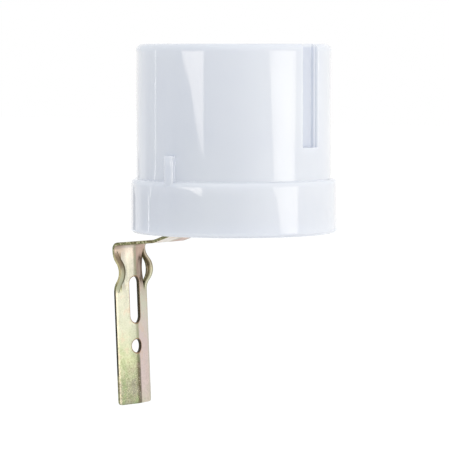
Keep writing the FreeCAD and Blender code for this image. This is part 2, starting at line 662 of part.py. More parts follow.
def make_bracket():
    body = new_body("bracket", in_cover=False)
    up_leg = upright + s.lean
    half = s.strip_width / 2
    corner = (-(s.corner_rise * tangent(s.lean)), s.corner_rise)
    setback = s.bend_radius * tangent((up_leg - s.arm_slope) / 2)
    leg_top = along(corner, up_leg, -setback)
    arm_foot = along(corner, s.arm_slope, setback)
    leg_foot = along((as_size(0), as_size(0)), up_leg, -s.leg_below)

    # Both sides of the fold slope back from it, within the arm's own plane, so the arm stays flat
    fold = tangent(s.fold_angle)
    slide = fold * sine(s.arm_slope) / cosine(s.arm_slope - s.lean)
    back = slide * sine(s.lean) - fold
    down = -(slide * cosine(s.lean))

    def fold_pad(sketch, length, name):
        feature = pad(body, sketch, length, name)
        feature.UseCustomVector = True
        feature.AlongSketchNormal = True
        feature.Direction = FreeCAD.Vector(back.value, 1, down.value)
        bind(feature, "Direction.x", back)
        bind(feature, "Direction.z", down)
        return feature

    leg = new_sketch(body, "leg_section", "XZ_Plane")
    draw_outline(leg, strip_outline(leg_foot, [], leg_top, up_leg, s.sheet))
    leg_half = fold_pad(leg, half, "leg_half")
    mirror(body, [leg_half], "XZ_Plane", "leg")

    def on_fold(edge):
        return all(near(v.Y, 0) for v in edge.Vertexes) and edge.Length > s.leg_below.value

    def ridge(edge):
        return on_fold(edge) and edge.BoundBox.Center.x > leg.Shape.BoundBox.Center.x

    def valley(edge):
        return on_fold(edge) and not ridge(edge)

    dress_edges(body, "Fillet", s.fold_round, "fold_ridge", ridge)
    dress_edges(body, "Fillet", s.fold_round - s.sheet, "fold_valley", valley)

    # The bend carries the fold round into the flat arm
    bend = new_sketch(body, "bend_section", "XZ_Plane")
    bend_end = along(arm_foot, s.arm_slope, half * fold + s.sheet)
    bend_start = along(leg_top, up_leg, -s.bend_lap)
    draw_outline(bend, strip_outline(bend_start, [(corner, s.arm_slope, s.bend_radius, -1)],
                                     bend_end, up_leg, s.sheet))
    bend_half = fold_pad(bend, half, "bend_half")
    mirror(body, [bend_half], "XZ_Plane", "bend")

    # The arm ramps up into the base's recess and ends in a level pad
    pad_level = s.rim_height + s.base_recess - s.sheet / 2
    ramp_foot_x = s.reach - s.ramp_start
    ramp_foot_z = corner[1] + (ramp_foot_x - corner[0]) * tangent(s.arm_slope)
    ramp_head_x = ramp_foot_x + (pad_level - ramp_foot_z) / tangent(s.ramp_angle)
    arm = new_sketch(body, "arm_section", "XZ_Plane")
    draw_outline(arm, strip_outline(
        arm_foot,
        [((ramp_foot_x, ramp_foot_z), s.ramp_angle, s.ramp_round, 1),
         ((ramp_head_x, pad_level), as_size(0), s.ramp_round, -1)],
        (s.reach + s.pad_beyond, pad_level), s.arm_slope, s.sheet))
    pad(body, arm, s.strip_width, "arm", both_ways=True)

    def pad_corner(edge):
        spots = edge.Vertexes
        return all(near(v.X, (s.reach + s.pad_beyond).value) for v in spots) and \
            near(abs(spots[0].Y), half.value) and near(spots[0].Y, spots[1].Y)

    def leg_corner(edge):
        return all(near(abs(v.Y), half.value) and v.Z < leg_foot[1].value + s.sheet.value
                   for v in edge.Vertexes) and edge.Length < s.leg_below.value

    dress_edges(body, "Fillet", s.pad_corner, "pad_outline", pad_corner)
    dress_edges(body, "Fillet", s.leg_corner, "leg_outline", leg_corner)

    # Holes: screw in the pad, fixing hole and slot on the leg's fold
    screw_hole = new_sketch(body, "pad_hole_outline", "XY_Plane", (0, 0, pad_level))
    draw_circle(screw_hole, s.reach, 0, s.screw_radius + s.pivot_play)
    pocket(body, screw_hole, s.sheet * 2, "pad_hole", both_ways=True)
    through = s.strip_width
    fixing = new_sketch(body, "fixing_outline", "YZ_Plane")
    draw_circle(fixing, 0, 0, s.fixing_radius)
    pocket(body, fixing, through, "fixing_hole", both_ways=True)
    slot = new_sketch(body, "slot_outline", "YZ_Plane")
    end = s.slot_width / 2
    low = s.slot_rise - s.slot_length / 2 + end
    high = s.slot_rise + s.slot_length / 2 - end
    draw_outline(slot, [
        (end, low),
        (end, high, end, 1),
        (0, high + end, end, 1),
        (-end, high),
        (-end, low, end, 1),
        (0, low - end, end, 1),
    ])
    pocket(body, slot, through, "fixing_slot", both_ways=True)

    # Strap loops: the edge is slit free and arched forward between two places on each side
    reach_up = 2 * s.strap_radius * sine(s.strap_angle)
    middle = along((as_size(0), as_size(0)), up_leg, s.strap_rise / cosine(s.lean))
    foot = along(middle, up_leg, -reach_up)
    head = along(middle, up_leg, reach_up)
    inner = half - s.strap_width
    gap = new_sketch(body, "strap_gap_outline", "YZ_Plane")
    draw_box(gap, inner - s.strap_slit, foot[1], half + s.strap_slit, head[1])
    gap_cut = pocket(body, gap, through, "strap_gap", both_ways=True)
    mirror(body, [gap_cut], "XZ_Plane", "strap_gaps")
    turn = s.strap_radius * tangent(s.strap_angle / 2)
    crown = aside(middle, up_leg, -((reach_up - turn) * tangent(s.strap_angle)))
    strap = new_sketch(body, "strap_section", "XZ_Plane", (inner * back, inner * down, -inner))
    draw_outline(strap, strip_outline(
        along(foot, up_leg, -s.strap_lap),
        [(along(foot, up_leg, turn), up_leg - s.strap_angle, s.strap_radius, -1),
         (crown, up_leg + s.strap_angle, s.strap_radius, 1),
         (along(head, up_leg, -turn), up_leg, s.strap_radius, -1)],
        along(head, up_leg, s.strap_lap), up_leg, s.sheet))
    strap_pad = fold_pad(strap, s.strap_width, "strap_band")
    mirror(body, [strap_pad], "XZ_Plane", "strap_bands")
    return body


# Clamp screw, washers and nut

def clamp_levels():
    # Heights under the base: pad, flat washer, spring washer, screw head
    pad_under = s.base_recess - s.sheet
    washer_under = pad_under - s.washer_height
    spring_under = washer_under - s.spring_height
    return pad_under, washer_under, spring_under


def make_screw():
    body = new_body("bracket_screw")
    seat = clamp_levels()[2]
    tip = seat + s.screw_length
    section = new_sketch(body, "screw_section", "XZ_Plane")
    draw_outline(section, [
        (0, seat - s.head_height),
        (s.head_radius - s.head_chamfer, seat - s.head_height),
        (s.head_radius, seat - s.head_height + s.head_chamfer),
        (s.head_radius, seat),
        (s.screw_radius, seat),
        (s.screw_radius, tip - s.screw_tip),
        (s.screw_radius - s.screw_tip, tip),
        (0, tip),
    ])
    revolve(body, section, "screw_turned")
    recess = new_sketch(body, "recess_outline", "XY_Plane", (0, 0, seat - s.head_height))
    arm = s.recess_length / 2
    half = s.recess_width / 2
    draw_outline(recess, [
        (arm, -half), (arm, half), (half, half), (half, arm), (-half, arm), (-half, half),
        (-arm, half), (-arm, -half), (-half, -half), (-half, -arm), (half, -arm), (half, -half),
    ])
    pocket(body, recess, s.recess_depth, "cross_recess", reverse=True)
    return body


def make_washers():
    pad_under, washer_under, spring_under = clamp_levels()
    bore = s.screw_radius + s.washer_play
    flat = new_body("flat_washer")
    section = new_sketch(flat, "washer_section", "XZ_Plane")
    draw_box(section, bore, washer_under, s.washer_radius, pad_under)
    revolve(flat, section, "washer_turned")
    spring = new_body("spring_washer")
    section = new_sketch(spring, "spring_section", "XZ_Plane")
    draw_box(section, bore, spring_under, s.spring_radius, washer_under)
    revolve(spring, section, "spring_turned", 360 - s.spring_opening)


def make_nut():
    body = new_body("bracket_nut")
    low = s.base_recess + s.base_floor
    high = low + s.nut_height
    outline = new_sketch(body, "nut_outline", "XY_Plane", (0, 0, low))
    draw_hexagon(outline, s.nut_flats)
    pad(body, outline, s.nut_height, "nut_blank")
    bore = s.screw_radius + s.thread_play
    hole = new_sketch(body, "nut_bore_outline", "XY_Plane", (0, 0, high))
    draw_circle(hole, 0, 0, bore)
    pocket(body, hole, s.nut_height, "nut_bore")
    # The corners are turned off towards both faces
    corner = s.nut_flats / 2 / cosine(hexagon_half)
    turned = new_sketch(body, "nut_corner_section", "XZ_Plane")
    flat = s.nut_flats / 2
    draw_outline(turned, [(corner, high - s.nut_chamfer), (corner, high), (flat, high)])
    groove = body.newObject("PartDesign::Groove", "nut_top_corners")
    groove.Profile = turned
    groove.ReferenceAxis = (turned, ["V_Axis"])
    groove.Angle = 360
    return body


# Circuit board and its screws

def make_board():
    body = new_body("circuit_board")
    half = s.board_width / 2
    low = s.board_low
    high = s.board_high
    cut = s.board_corner
    outline = new_sketch(body, "board_outline", "XZ_Plane")
    draw_outline(outline, [
        (-half, low), (half, low), (half, high - cut), (half - cut, high),
        (cut - half, high), (-half, high - cut),
    ])
    pad(body, outline, s.board_thickness, "board_sheet", both_ways=True)
    holes = new_sketch(body, "board_holes_outline", "XZ_Plane")
    for side in (1, -1):
        draw_circle(holes, (half - s.fixing_inset) * side, low + s.fixing_rise,
                    s.tapper_radius + s.tapper_play)
    pocket(body, holes, s.board_thickness * 2, "board_holes", both_ways=True)
    return body


def make_board_screws():
    # Drawn upright on the axis, then laid along Y with the head on the board's front
    screws = []
    for side, word in ((1, "right"), (-1, "left")):
        shank = bar(f"{word}_tapper_shank", tapper_sides, s.tapper_radius, s.tapper_length, 0, 0, 0, "up")
        head = rod(f"{word}_tapper_head", s.tapper_head, s.tapper_head_height,
                   0, 0, -s.tapper_head_height, "up")
        screw = doc.addObject("Part::Fuse", f"{word}_tapper")
        screw.Base = shank
        screw.Tool = head
        screw.Placement.Rotation = FreeCAD.Rotation(FreeCAD.Vector(1, 0, 0), -90)
        bind(screw, "Placement.Base.x", (s.board_width / 2 - s.fixing_inset) * side)
        bind(screw, "Placement.Base.y", -(s.board_thickness / 2))
        bind(screw, "Placement.Base.z", s.board_low + s.fixing_rise)
        screws.append(screw)
    return gather("board_screws", screws)


# Parts on the board, in rows from the left. The board's front looks towards -Y.

def make_block(name, width, height, depth, left):
    # A moulded can in the lower row
    body = new_body(name)
    low = s.board_low + s.lower_clear
    outline = new_sketch(body, f"{name}_outline", "XZ_Plane", (0, 0, s.board_thickness / 2))
    draw_box(outline, left, low, left + width, low + height)
    pad(body, outline, depth, f"{name}_block")
    foot = -(s.board_thickness / 2).value

    def free_edge(edge):
        return not all(near(v.Y, foot) for v in edge.Vertexes)

    dress_edges(body, "Chamfer", s.can_edge, f"{name}_edges", free_edge)


def make_round_capacitor(name, radius, length, left):
    can = rod(name, radius, length, 0, 0, 0, "up")
    can.Label = name
    up = s.board_high - s.can_row
    lay(can, s.reach + left + radius, -(s.board_thickness / 2), s.rim_height + up, "front")
    pieces.append(can)


def wired_part(name, radius, length, across, up, towards, keep=True):
    # A body lying along the board, its two leads bent back to the board's face
    face = -(s.board_thickness / 2)
    off = face - s.part_clear - radius
    run = length / 2 + s.wire_run
    tip = run + s.wire_radius
    if towards == "across":
        shapes = [bar(f"{name}_body", body_sides, radius, length, across - length / 2, off, up, "across"),
                  bar(f"{name}_wire", wire_sides, s.wire_radius, tip * 2, across - tip, off, up, "across")]
        feet = [(across - run, up), (across + run, up)]
    else:
        shapes = [bar(f"{name}_body", body_sides, radius, length, across, off, up - length / 2, "up"),
                  bar(f"{name}_wire", wire_sides, s.wire_radius, tip * 2, across, off, up - tip, "up")]
        feet = [(across, up - run), (across, up + run)]
    for word, (x, z) in zip(("first", "last"), feet):
        shapes.append(bar(f"{name}_{word}_leg", wire_sides, s.wire_radius, face - off, x, off, z, "rear"))
    return fuse(name, shapes, keep)


def make_lower_row():
    make_block("film_capacitor", s.film_width, s.film_height, s.film_depth, s.lower_start)
    make_block("relay", s.relay_width, s.relay_height, s.relay_depth,
               s.lower_start + s.film_width + s.part_gap)


def make_can_row():
    left = s.upper_start
    make_round_capacitor("smoothing_capacitor", s.smoothing_radius, s.smoothing_length, left)
    left = left + 2 * s.smoothing_radius + s.part_gap
    make_round_capacitor("delay_capacitor", s.delay_radius, s.delay_length, left)
    left = left + 2 * s.delay_radius + s.part_gap
    first = left + s.diode_radius
    diodes = [wired_part(f"rectifier_{count + 1}", s.diode_radius, s.diode_length,
                         first + s.diode_pitch * count, s.board_high - s.can_row, "up", keep=False)
              for count in range(4)]
    gather("rectifier_diodes", diodes)
    make_varistor(first + s.diode_pitch * 3 + s.diode_radius + s.part_gap)


def make_small_row():
    up = s.board_high - s.small_row
    half = s.stack_pitch / 2
    end = s.wire_run + s.wire_radius
    left = s.upper_start
    across = left + end + s.series_length / 2
    wired_part("series_resistor", s.series_radius, s.series_length, across, up, "across")
    left = left + s.series_length + 2 * end + s.part_gap
    make_transistor(left + s.transistor_radius, up)
    left = left + 2 * s.transistor_radius + s.part_gap
    across = left + end + s.resistor_length / 2
    resistors = [wired_part(f"signal_resistor_{word}", s.resistor_radius, s.resistor_length,
                            across, up + half * side, "across", keep=False)
                 for word, side in (("lower", -1), ("upper", 1))]
    gather("signal_resistors", resistors)
    left = left + s.resistor_length + 2 * end + s.part_gap
    across = left + end + s.small_diode_length / 2
    wired_part("zener_diode", s.small_diode_radius, s.small_diode_length, across, up - half, "across")
    wired_part("coil_diode", s.small_diode_radius, s.small_diode_length, across, up + half, "across")


def make_varistor(left):
    # A disc on edge, on two leads
    face = -(s.board_thickness / 2)
    off = face - s.varistor_clear - s.varistor_radius
    up = s.board_high - s.can_row
    shapes = [rod("varistor_disc", s.varistor_radius, s.varistor_thickness, left, off, up, "across")]
    for word, side in (("upper", 1), ("lower", -1)):
        shapes.append(bar(f"varistor_{word}_wire", wire_sides, s.wire_radius, face - off,
                          left + s.varistor_thickness / 2, off, up + s.varistor_radius / 2 * side, "rear"))
    fuse("varistor", shapes)


def make_transistor(across, up):
    # Half-round body with its flat underneath, on three legs
    body = new_body("transistor")
    face = s.board_thickness / 2 + s.transistor_clear
    outline = new_sketch(body, "transistor_outline", "XZ_Plane", (0, 0, face))
    half = root(s.transistor_radius * s.transistor_radius - s.transistor_flat * s.transistor_flat)
    draw_outline(outline, [
        (across - half, up - s.transistor_flat),
        (across + half, up - s.transistor_flat, s.transistor_radius, 1),
        (across, up + s.transistor_radius, s.transistor_radius, 1),
    ])
    pad(body, outline, s.transistor_length, "transistor_block")
    legs = new_sketch(body, "transistor_legs_outline", "XZ_Plane", (0, 0, s.board_thickness / 2))
    leg = s.leg_width / 2
    for side in (-1, 0, 1):
        middle = across + s.leg_pitch * side
        draw_box(legs, middle - leg, up - leg, middle + leg, up + leg)
    pad(body, legs, s.transistor_clear + s.transistor_length / 2, "transistor_legs")


def make_light_cell():
    # Looks up at the cover's top from the board's upper edge
    off = -(s.board_thickness / 2) - s.wire_radius
    foot = s.board_high - s.cell_wire_lap
    shapes = [rod("cell_disc", s.cell_radius, s.cell_thickness, 0, off, s.board_high + s.cell_rise, "up")]
    for word, side in (("right", 1), ("left", -1)):
        shapes.append(bar(f"cell_{word}_wire", wire_sides, s.wire_radius,
                          s.cell_wire_lap + s.cell_rise + s.cell_thickness / 2,
                          s.cell_wire_pitch / 2 * side, off, foot, "up"))
    fuse("light_sensor", shapes)


def make_terminals():
    # Push-on tabs for the three leads, on the board's back above the outlet
    body = new_body("lead_terminals")
    up = s.board_low + s.tab_up
    tabs = new_sketch(body, "tabs_outline", "XY_Plane", (0, 0, up))
    foot = s.board_thickness / 2
    tip = foot + s.tab_length
    half = s.tab_width / 2
    for place in (-1, 0, 1):
        middle = s.tab_pitch * place
        draw_outline(tabs, [
            (middle - half, foot), (middle + half, foot), (middle + half, tip - s.tab_corner),
            (middle + half - s.tab_corner, tip), (middle - half + s.tab_corner, tip),
            (middle - half, tip - s.tab_corner),
        ])
    pad(body, tabs, s.tab_thickness, "tabs", both_ways=True)


make_cover()
make_base()
make_bracket()
make_screw()
make_washers()
make_nut()
make_board()
make_board_screws()
make_lower_row()
make_can_row()
make_small_row()
make_light_cell()
make_terminals()
doc.recompute()

# Every object has to be whole before anything is written
for thing in doc.Objects:
    if "Invalid" in thing.State or "Error" in thing.State:
        raise ValueError(f"{thing.Label} failed: {thing.State}")
for piece in pieces:
    if piece.Shape.isNull() or not piece.Shape.isValid():
        raise ValueError(f"{piece.Label} has no valid shape")

os.makedirs("parts", exist_ok=True)
for piece in pieces:
    piece.Shape.exportStep(f"parts/{piece.Label}.step")
    print(f"{piece.Label}: {len(piece.Shape.Solids)} solids, {piece.Shape.Volume:.0f} cubic mm")
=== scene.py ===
import math
import bmesh
import bpy
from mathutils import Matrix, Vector
from mathutils.geometry import delaunay_2d_cdt


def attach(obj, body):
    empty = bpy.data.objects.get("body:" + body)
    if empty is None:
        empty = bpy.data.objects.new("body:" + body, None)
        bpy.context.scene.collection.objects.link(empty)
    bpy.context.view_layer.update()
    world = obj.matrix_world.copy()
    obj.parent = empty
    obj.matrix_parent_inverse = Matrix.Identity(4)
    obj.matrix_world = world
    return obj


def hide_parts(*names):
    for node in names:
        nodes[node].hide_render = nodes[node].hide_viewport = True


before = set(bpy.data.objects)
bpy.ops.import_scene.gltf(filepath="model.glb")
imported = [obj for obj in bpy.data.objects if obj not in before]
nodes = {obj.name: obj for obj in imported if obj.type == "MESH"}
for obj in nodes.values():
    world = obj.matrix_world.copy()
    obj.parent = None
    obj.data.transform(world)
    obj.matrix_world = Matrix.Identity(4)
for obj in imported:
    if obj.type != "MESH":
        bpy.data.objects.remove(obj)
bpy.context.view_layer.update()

# Dusk to dawn light sensor: glossy moulded cover, base, clamp screw and pressed bracket.
# Sizes of the pieces are in millimetres and become metres when a mesh is made.
# Camera, studio and finishes are in metres.

scene = bpy.context.scene
scene.view_settings.view_transform = "Standard"
mm = 0.001
axisX = 0.04915  # the cover's axis
print("frame loaded:", len(nodes), "nodes")


# small helpers

nodeGrid = {"columns": 12, "across": 200, "down": 240}
noiseSpread = (0.3, 0.7)  # nearly all of a noise lies between these


def srgb(red, green, blue):
    def linear(value):
        value /= 255
        return value / 12.92 if value <= 0.04045 else ((value + 0.055) / 1.055) ** 2.4
    return (linear(red), linear(green), linear(blue), 1.0)


def newObject(name, data):
    thing = bpy.data.objects.new(name, data)
    scene.collection.objects.link(thing)
    return thing


def put(tree, kind, **settings):
    # Adds a node. The nodes stand in rows, in the order they are made
    row, column = divmod(len(tree.nodes), nodeGrid["columns"])
    node = tree.nodes.new(kind)
    node.location = (column * nodeGrid["across"], -row * nodeGrid["down"])
    for key, value in settings.items():
        setattr(node, key, value)
    return node


def feed(tree, socket, value):
    if isinstance(value, bpy.types.NodeSocket):
        tree.links.new(value, socket)
    else:
        socket.default_value = value


def feedAll(tree, node, values):
    for label, value in values.items():
        feed(tree, node.inputs[label], value)


def calc(tree, operation, *values):
    node = put(tree, "ShaderNodeMath", operation=operation)
    for socket, value in zip(node.inputs, values):
        feed(tree, socket, value)
    return node.outputs[0]


def farness(tree, first, second):
    # How far two coordinates lie from zero together
    squares = [calc(tree, "MULTIPLY", value, value) for value in (first, second)]
    return calc(tree, "SQRT", calc(tree, "ADD", *squares))


def modifierInput(modifier, label, value):
    for item in modifier.node_group.interface.items_tree:
        if item.item_type == "SOCKET" and item.in_out == "INPUT" and item.name == label:
            modifier[item.identifier] = value
            return
    raise KeyError(label)


def bakeNodes(thing):
    # Turns the modifiers' result into a plain mesh and drops the modifiers
    graph = bpy.context.evaluated_depsgraph_get()
    result = bpy.data.meshes.new_from_object(thing.evaluated_get(graph), depsgraph=graph)
    thing.modifiers.clear()
    old = thing.data
    thing.data = result
    bpy.data.meshes.remove(old)
    result.name = thing.name


def smooth(mesh, degrees):
    mesh.shade_smooth()
    mesh.set_sharp_from_angle(angle=math.radians(degrees))


# parts of a finish

def newMaterial(name):
    # The material, its nodes, its shader and the Object coordinates
    material = bpy.data.materials.new(name)
    material.use_nodes = True
    tree = material.node_tree
    where = put(tree, "ShaderNodeTexCoord").outputs["Object"]
    return material, tree, tree.nodes["Principled BSDF"], where


def axes(tree, where):
    split = put(tree, "ShaderNodeSeparateXYZ")
    feed(tree, split.inputs[0], where)
    return split.outputs


def noise(tree, where, scale, detail=3.0, rough=0.55, stretch=(1, 1, 1), offset=(0, 0, 0)):
    mapping = put(tree, "ShaderNodeMapping")
    feedAll(tree, mapping, {"Vector": where, "Scale": stretch, "Location": offset})
    node = put(tree, "ShaderNodeTexNoise")
    feedAll(tree, node, {"Vector": mapping.outputs[0], "Scale": scale, "Detail": detail,
                         "Roughness": rough})
    return node.outputs["Fac"]


def ramp(tree, value, *stops):
    node = put(tree, "ShaderNodeValToRGB")
    band = node.color_ramp
    while len(band.elements) < len(stops):
        band.elements.new(0.5)
    for element, (spot, colour) in zip(band.elements, stops):
        element.position = spot
        element.color = srgb(*colour)
    feed(tree, node.inputs["Fac"], value)
    return node.outputs["Color"]


def span(tree, value, low, high, first, last, smoothly=True):
    node = put(tree, "ShaderNodeMapRange")
    node.interpolation_type = "SMOOTHSTEP" if smoothly else "LINEAR"
    feedAll(tree, node, dict(enumerate((value, low, high, first, last))))
    return node.outputs[0]


def blendColour(tree, factor, first, second):
    node = put(tree, "ShaderNodeMix", data_type="RGBA", blend_type="MIX")
    feedAll(tree, node, {0: factor, 6: first, 7: second})
    return node.outputs[2]


def layered(tree, skin, measures, layers):
    # Lays colours over a skin. A layer is its colour, or the name of one among the measures,
    # then the fades whose product is its strength. A fade is a measure, from where to where
    # it runs and its strength at both. A measure alone counts as it is.
    for colour, *fades in layers:
        strength = None
        for measure, *limits in fades:
            fade = span(tree, measures[measure], *limits) if limits else measures[measure]
            strength = fade if strength is None else calc(tree, "MULTIPLY", strength, fade)
        over = measures[colour] if isinstance(colour, str) else srgb(*colour)
        skin = blendColour(tree, strength, skin, over)
    return skin


def bumpFrom(tree, shader, height, distance, strength=1.0):
    node = put(tree, "ShaderNodeBump")
    feedAll(tree, node, {"Strength": strength, "Distance": distance, "Height": height})
    tree.links.new(node.outputs[0], shader.inputs["Normal"])


# camera

cameraSettings = {
    "turn": math.radians(39.07),
    "distance": 1.06,
    "height": 0.1171,
    "tilt": 0.0638,
    "sideways": -0.00354,
    "lens": 223.7,
    "sensor": 36,
    "clip": (0.05, 50),
}

turn = cameraSettings["turn"]
backwards = Vector((math.sin(turn), -math.cos(turn), 0))
rightwards = Vector((math.cos(turn), math.sin(turn), 0))
cameraData = bpy.data.cameras.new("camera")
cameraData.lens = cameraSettings["lens"]
cameraData.sensor_width = cameraSettings["sensor"]
cameraData.clip_start, cameraData.clip_end = cameraSettings["clip"]
camera = newObject("camera", cameraData)
camera.location = (Vector((axisX, 0, cameraSettings["height"]))
                   + backwards * cameraSettings["distance"]
                   + rightwards * cameraSettings["sideways"])
camera.rotation_euler = (math.pi / 2 - cameraSettings["tilt"], 0, turn)
scene.camera = camera
print("camera: lens", cameraSettings["lens"], "mm")


# studio
# An azimuth is in degrees to the right of the camera, round the cover's axis.

white = (1, 1, 1, 1)
paleGlow = (1.0, 0.975, 0.935, 1)

studio = {
    "floorLevel": -0.12,
    "floorSize": 12.0,
    "floorDiffuse": 0.8,
    "floorRoughness": 0.9,
    "floorGlow": 0.335,
    "ambient": 0.9,
    "ambientColour": (0.955, 0.975, 1.0, 1),
    "aimHeight": 0.08,
    # each lamp: azimuth, distance, height, width, length, power, colour
    "lamps": {
        "keyBox": (62, 0.8, 0.42, 0.7, 0.7, 2.1, (1.0, 0.93, 0.82)),
        "fillBox": (-30, 0.9, 0.6, 0.8, 0.6, 0.25, (1, 1, 1)),
    },
}

room = {
    "azimuths": range(-170, 171, 10),
    "behindAt": -130,
    "behindShare": 1.15,
    "leftAt": -80,
    "sideAt": 40,
    # height, then the glow at the left, in front and at the right
    "levels": (
        (-0.022, 0.4, 0.1, 1.1),
        (0, 0.35, 0, 1.15),
        (0.03, 0.5, 0, 1.15),
        (0.07, 0.8, 0.5, 1.15),
        (0.116, 1, 1, 1.1),
    ),
}


def studioSpot(azimuth, distance, height):
    angle = math.radians(azimuth)
    outwards = backwards * math.cos(angle) + rightwards * math.sin(angle)
    return Vector((axisX, 0, height)) + outwards * distance


def roomRows():
    # The far end of the room: dim in front and low, brighter at both sides
    rows = []
    for height, left, front, side in room["levels"]:
        marks = []
        for azimuth in room["azimuths"]:
            if azimuth <= room["behindAt"]:
                share = room["behindShare"]
            elif azimuth <= room["leftAt"]:
                share = left
            else:
                share = front + (side - front) * min(1, max(0, azimuth / room["sideAt"]))
            marks.append((azimuth, share))
        rows.append((height, *marks))
    return rows


# Bright cards that only gloss sees. Each row: height, then azimuth and share of the glow along it
studioCards = {
    "stripCard": {"glow": 4.5, "colour": (1, 0.94, 0.85, 1), "distance": 1, "rows": (
        (-0.026, (55, 0.75), (60, 0.9), (66, 1), (72, 0.95), (74, 0.8)),
        (-0.0094, (51.6, 0.85), (58, 0.95), (65, 1), (71, 0.95), (74.4, 0.8)),
        (0.0083, (47.8, 0.8), (54, 0.95), (63, 1), (71, 0.95), (74.6, 0.8)),
        (0.0435, (45.8, 0.75), (53, 0.95), (62, 1), (70, 0.95), (74.8, 0.75)),
        (0.108, (41.6, 0.75), (50, 0.95), (60, 1), (70, 0.95), (76.2, 0.65)),
        (0.155, (41, 0.75), (50, 0.95), (60, 1), (70, 0.95), (76.4, 0.65)),
    )},
    "wedgeCard": {"glow": 5.4, "colour": (1, 0.93, 0.85, 1), "distance": 1, "rows": (
        (0.0400, (-35.2, 0.5), (-36.0, 0.5)),
        (0.0508, (-35.2, 0.62), (-40.8, 0.6)),
        (0.065, (-35.2, 0.72), (-45.3, 0.7)),
        (0.0863, (-35.2, 0.83), (-50.2, 0.8)),
        (0.108, (-35.2, 0.95), (-61.0, 0.85)),
        (0.115, (-35.2, 1), (-62.5, 0.85)),
        (0.150, (-35.2, 1), (-64.0, 0.85)),
    )},
    "roomBand": {"glow": 1, "colour": paleGlow, "distance": 1.03, "rows": roomRows()},
    "doorCard": {"glow": 1, "colour": paleGlow, "distance": 0.98, "rows": (
        (-0.06, (-151.5, 0.3), (-141.0, 0.3)),
        (0.012, (-151.0, 0.3), (-142.5, 0.3)),
        (0.02, (-151.0, 0.2), (-146.5, 0.2)),
        (0.04, (-151.0, 0.4), (-148.5, 0.4)),
    )},
    "edgeCard": {"glow": 3.4, "colour": paleGlow, "distance": 1, "rows": (
        (-0.02, (-107.8, 1), (-109.6, 1)),
        (0.016, (-107.4, 1), (-109.0, 1)),
        (0.024, (-103.6, 1), (-105.3, 1)),
        (0.13, (-102.6, 1), (-104.3, 1)),
    )},
}


def panelLamp(name, azimuth, distance, height, width, length, power, colour):
    # Soft light only: what shines in the gloss are the cards
    lamp = bpy.data.lights.new(name, "AREA")
    lamp.shape = "RECTANGLE"
    lamp.size = width
    lamp.size_y = length
    lamp.energy = power
    lamp.color = colour
    thing = newObject(name, lamp)
    thing.location = studioSpot(azimuth, distance, height)
    aim = Vector((axisX, 0, studio["aimHeight"])) - thing.location
    thing.rotation_euler = aim.to_track_quat("-Z", "Y").to_euler()
    thing.visible_glossy = False


def glowCard(name, glow, colour, distance, rows):
    wide = len(rows[0]) - 1
    spots, shares = [], []
    for height, *marks in rows:
        for azimuth, share in marks:
            spots.append(studioSpot(azimuth, distance, height))
            shares.append(share)
    faces = [(j * wide + k, j * wide + k + 1, (j + 1) * wide + k + 1, (j + 1) * wide + k)
             for j in range(len(rows) - 1) for k in range(wide - 1)]
    mesh = bpy.data.meshes.new(name)
    mesh.from_pydata(spots, [], faces)
    mesh.attributes.new("glow", "FLOAT", "POINT").data.foreach_set("value", shares)
    thing = newObject(name, mesh)
    material, tree, shader, _ = newMaterial(name)
    tree.nodes.remove(shader)
    share = put(tree, "ShaderNodeAttribute", attribute_name="glow").outputs["Fac"]
    light = put(tree, "ShaderNodeEmission")
    feedAll(tree, light, {"Color": colour, "Strength": calc(tree, "MULTIPLY", share, glow)})
    tree.links.new(light.outputs[0], tree.nodes["Material Output"].inputs["Surface"])
    mesh.materials.append(material)
    for kind in ("camera", "shadow", "diffuse", "transmission"):
        setattr(thing, "visible_" + kind, False)


def seenBy(tree, *kinds):
    # 1 where a ray of these kinds looks at the backdrop, 0 where it only takes its light
    path = put(tree, "ShaderNodeLightPath").outputs
    seen = path[f"Is {kinds[0]} Ray"]
    for kind in kinds[1:]:
        seen = calc(tree, "MAXIMUM", seen, path[f"Is {kind} Ray"])
    return seen


def makeFloor():
    half, level = studio["floorSize"] / 2, studio["floorLevel"]
    corners = ((-half, -half), (half, -half), (half, half), (-half, half))
    mesh = bpy.data.meshes.new("floor")
    mesh.from_pydata([(x, y, level) for x, y in corners], [], [(0, 1, 2, 3)])
    floor = newObject("floor", mesh)
    material, tree, shader, _ = newMaterial("floorPaper")
    glow = calc(tree, "MULTIPLY", seenBy(tree, "Camera", "Glossy"), studio["floorGlow"])
    feedAll(tree, shader, {
        "Base Color": (studio["floorDiffuse"],) * 3 + (1,),
        "Roughness": studio["floorRoughness"],
        "Specular IOR Level": 0.0,
        "Emission Color": white,
        "Emission Strength": glow,
    })
    # from below, the floor lets the view through
    under = put(tree, "ShaderNodeNewGeometry").outputs["Backfacing"]
    clear = put(tree, "ShaderNodeBsdfTransparent").outputs[0]
    choose = put(tree, "ShaderNodeMixShader")
    feedAll(tree, choose, {0: calc(tree, "MULTIPLY", under, seenBy(tree, "Camera")),
                           1: shader.outputs[0], 2: clear})
    tree.links.new(choose.outputs[0], tree.nodes["Material Output"].inputs["Surface"])
    mesh.materials.append(material)


def makeBackdrop():
    # White where it is looked at, and a plain pale light on the object
    world = bpy.data.worlds.new("studio")
    scene.world = world
    world.use_nodes = True
    tree = world.node_tree
    seen = seenBy(tree, "Camera", "Glossy", "Transmission")
    colour = blendColour(tree, seen, studio["ambientColour"], white)
    extra = calc(tree, "MULTIPLY", seen, 1 - studio["ambient"])
    feedAll(tree, tree.nodes["Background"],
            {"Color": colour, "Strength": calc(tree, "ADD", extra, studio["ambient"])})


def makeStudio():
    makeFloor()
    makeBackdrop()
    for name, settings in studio["lamps"].items():
        panelLamp(name, *settings)
    for name, settings in studioCards.items():
        glowCard(name, **settings)
    print("studio:", len(studio["lamps"]), "lamps,", len(studioCards), "cards")


# cover

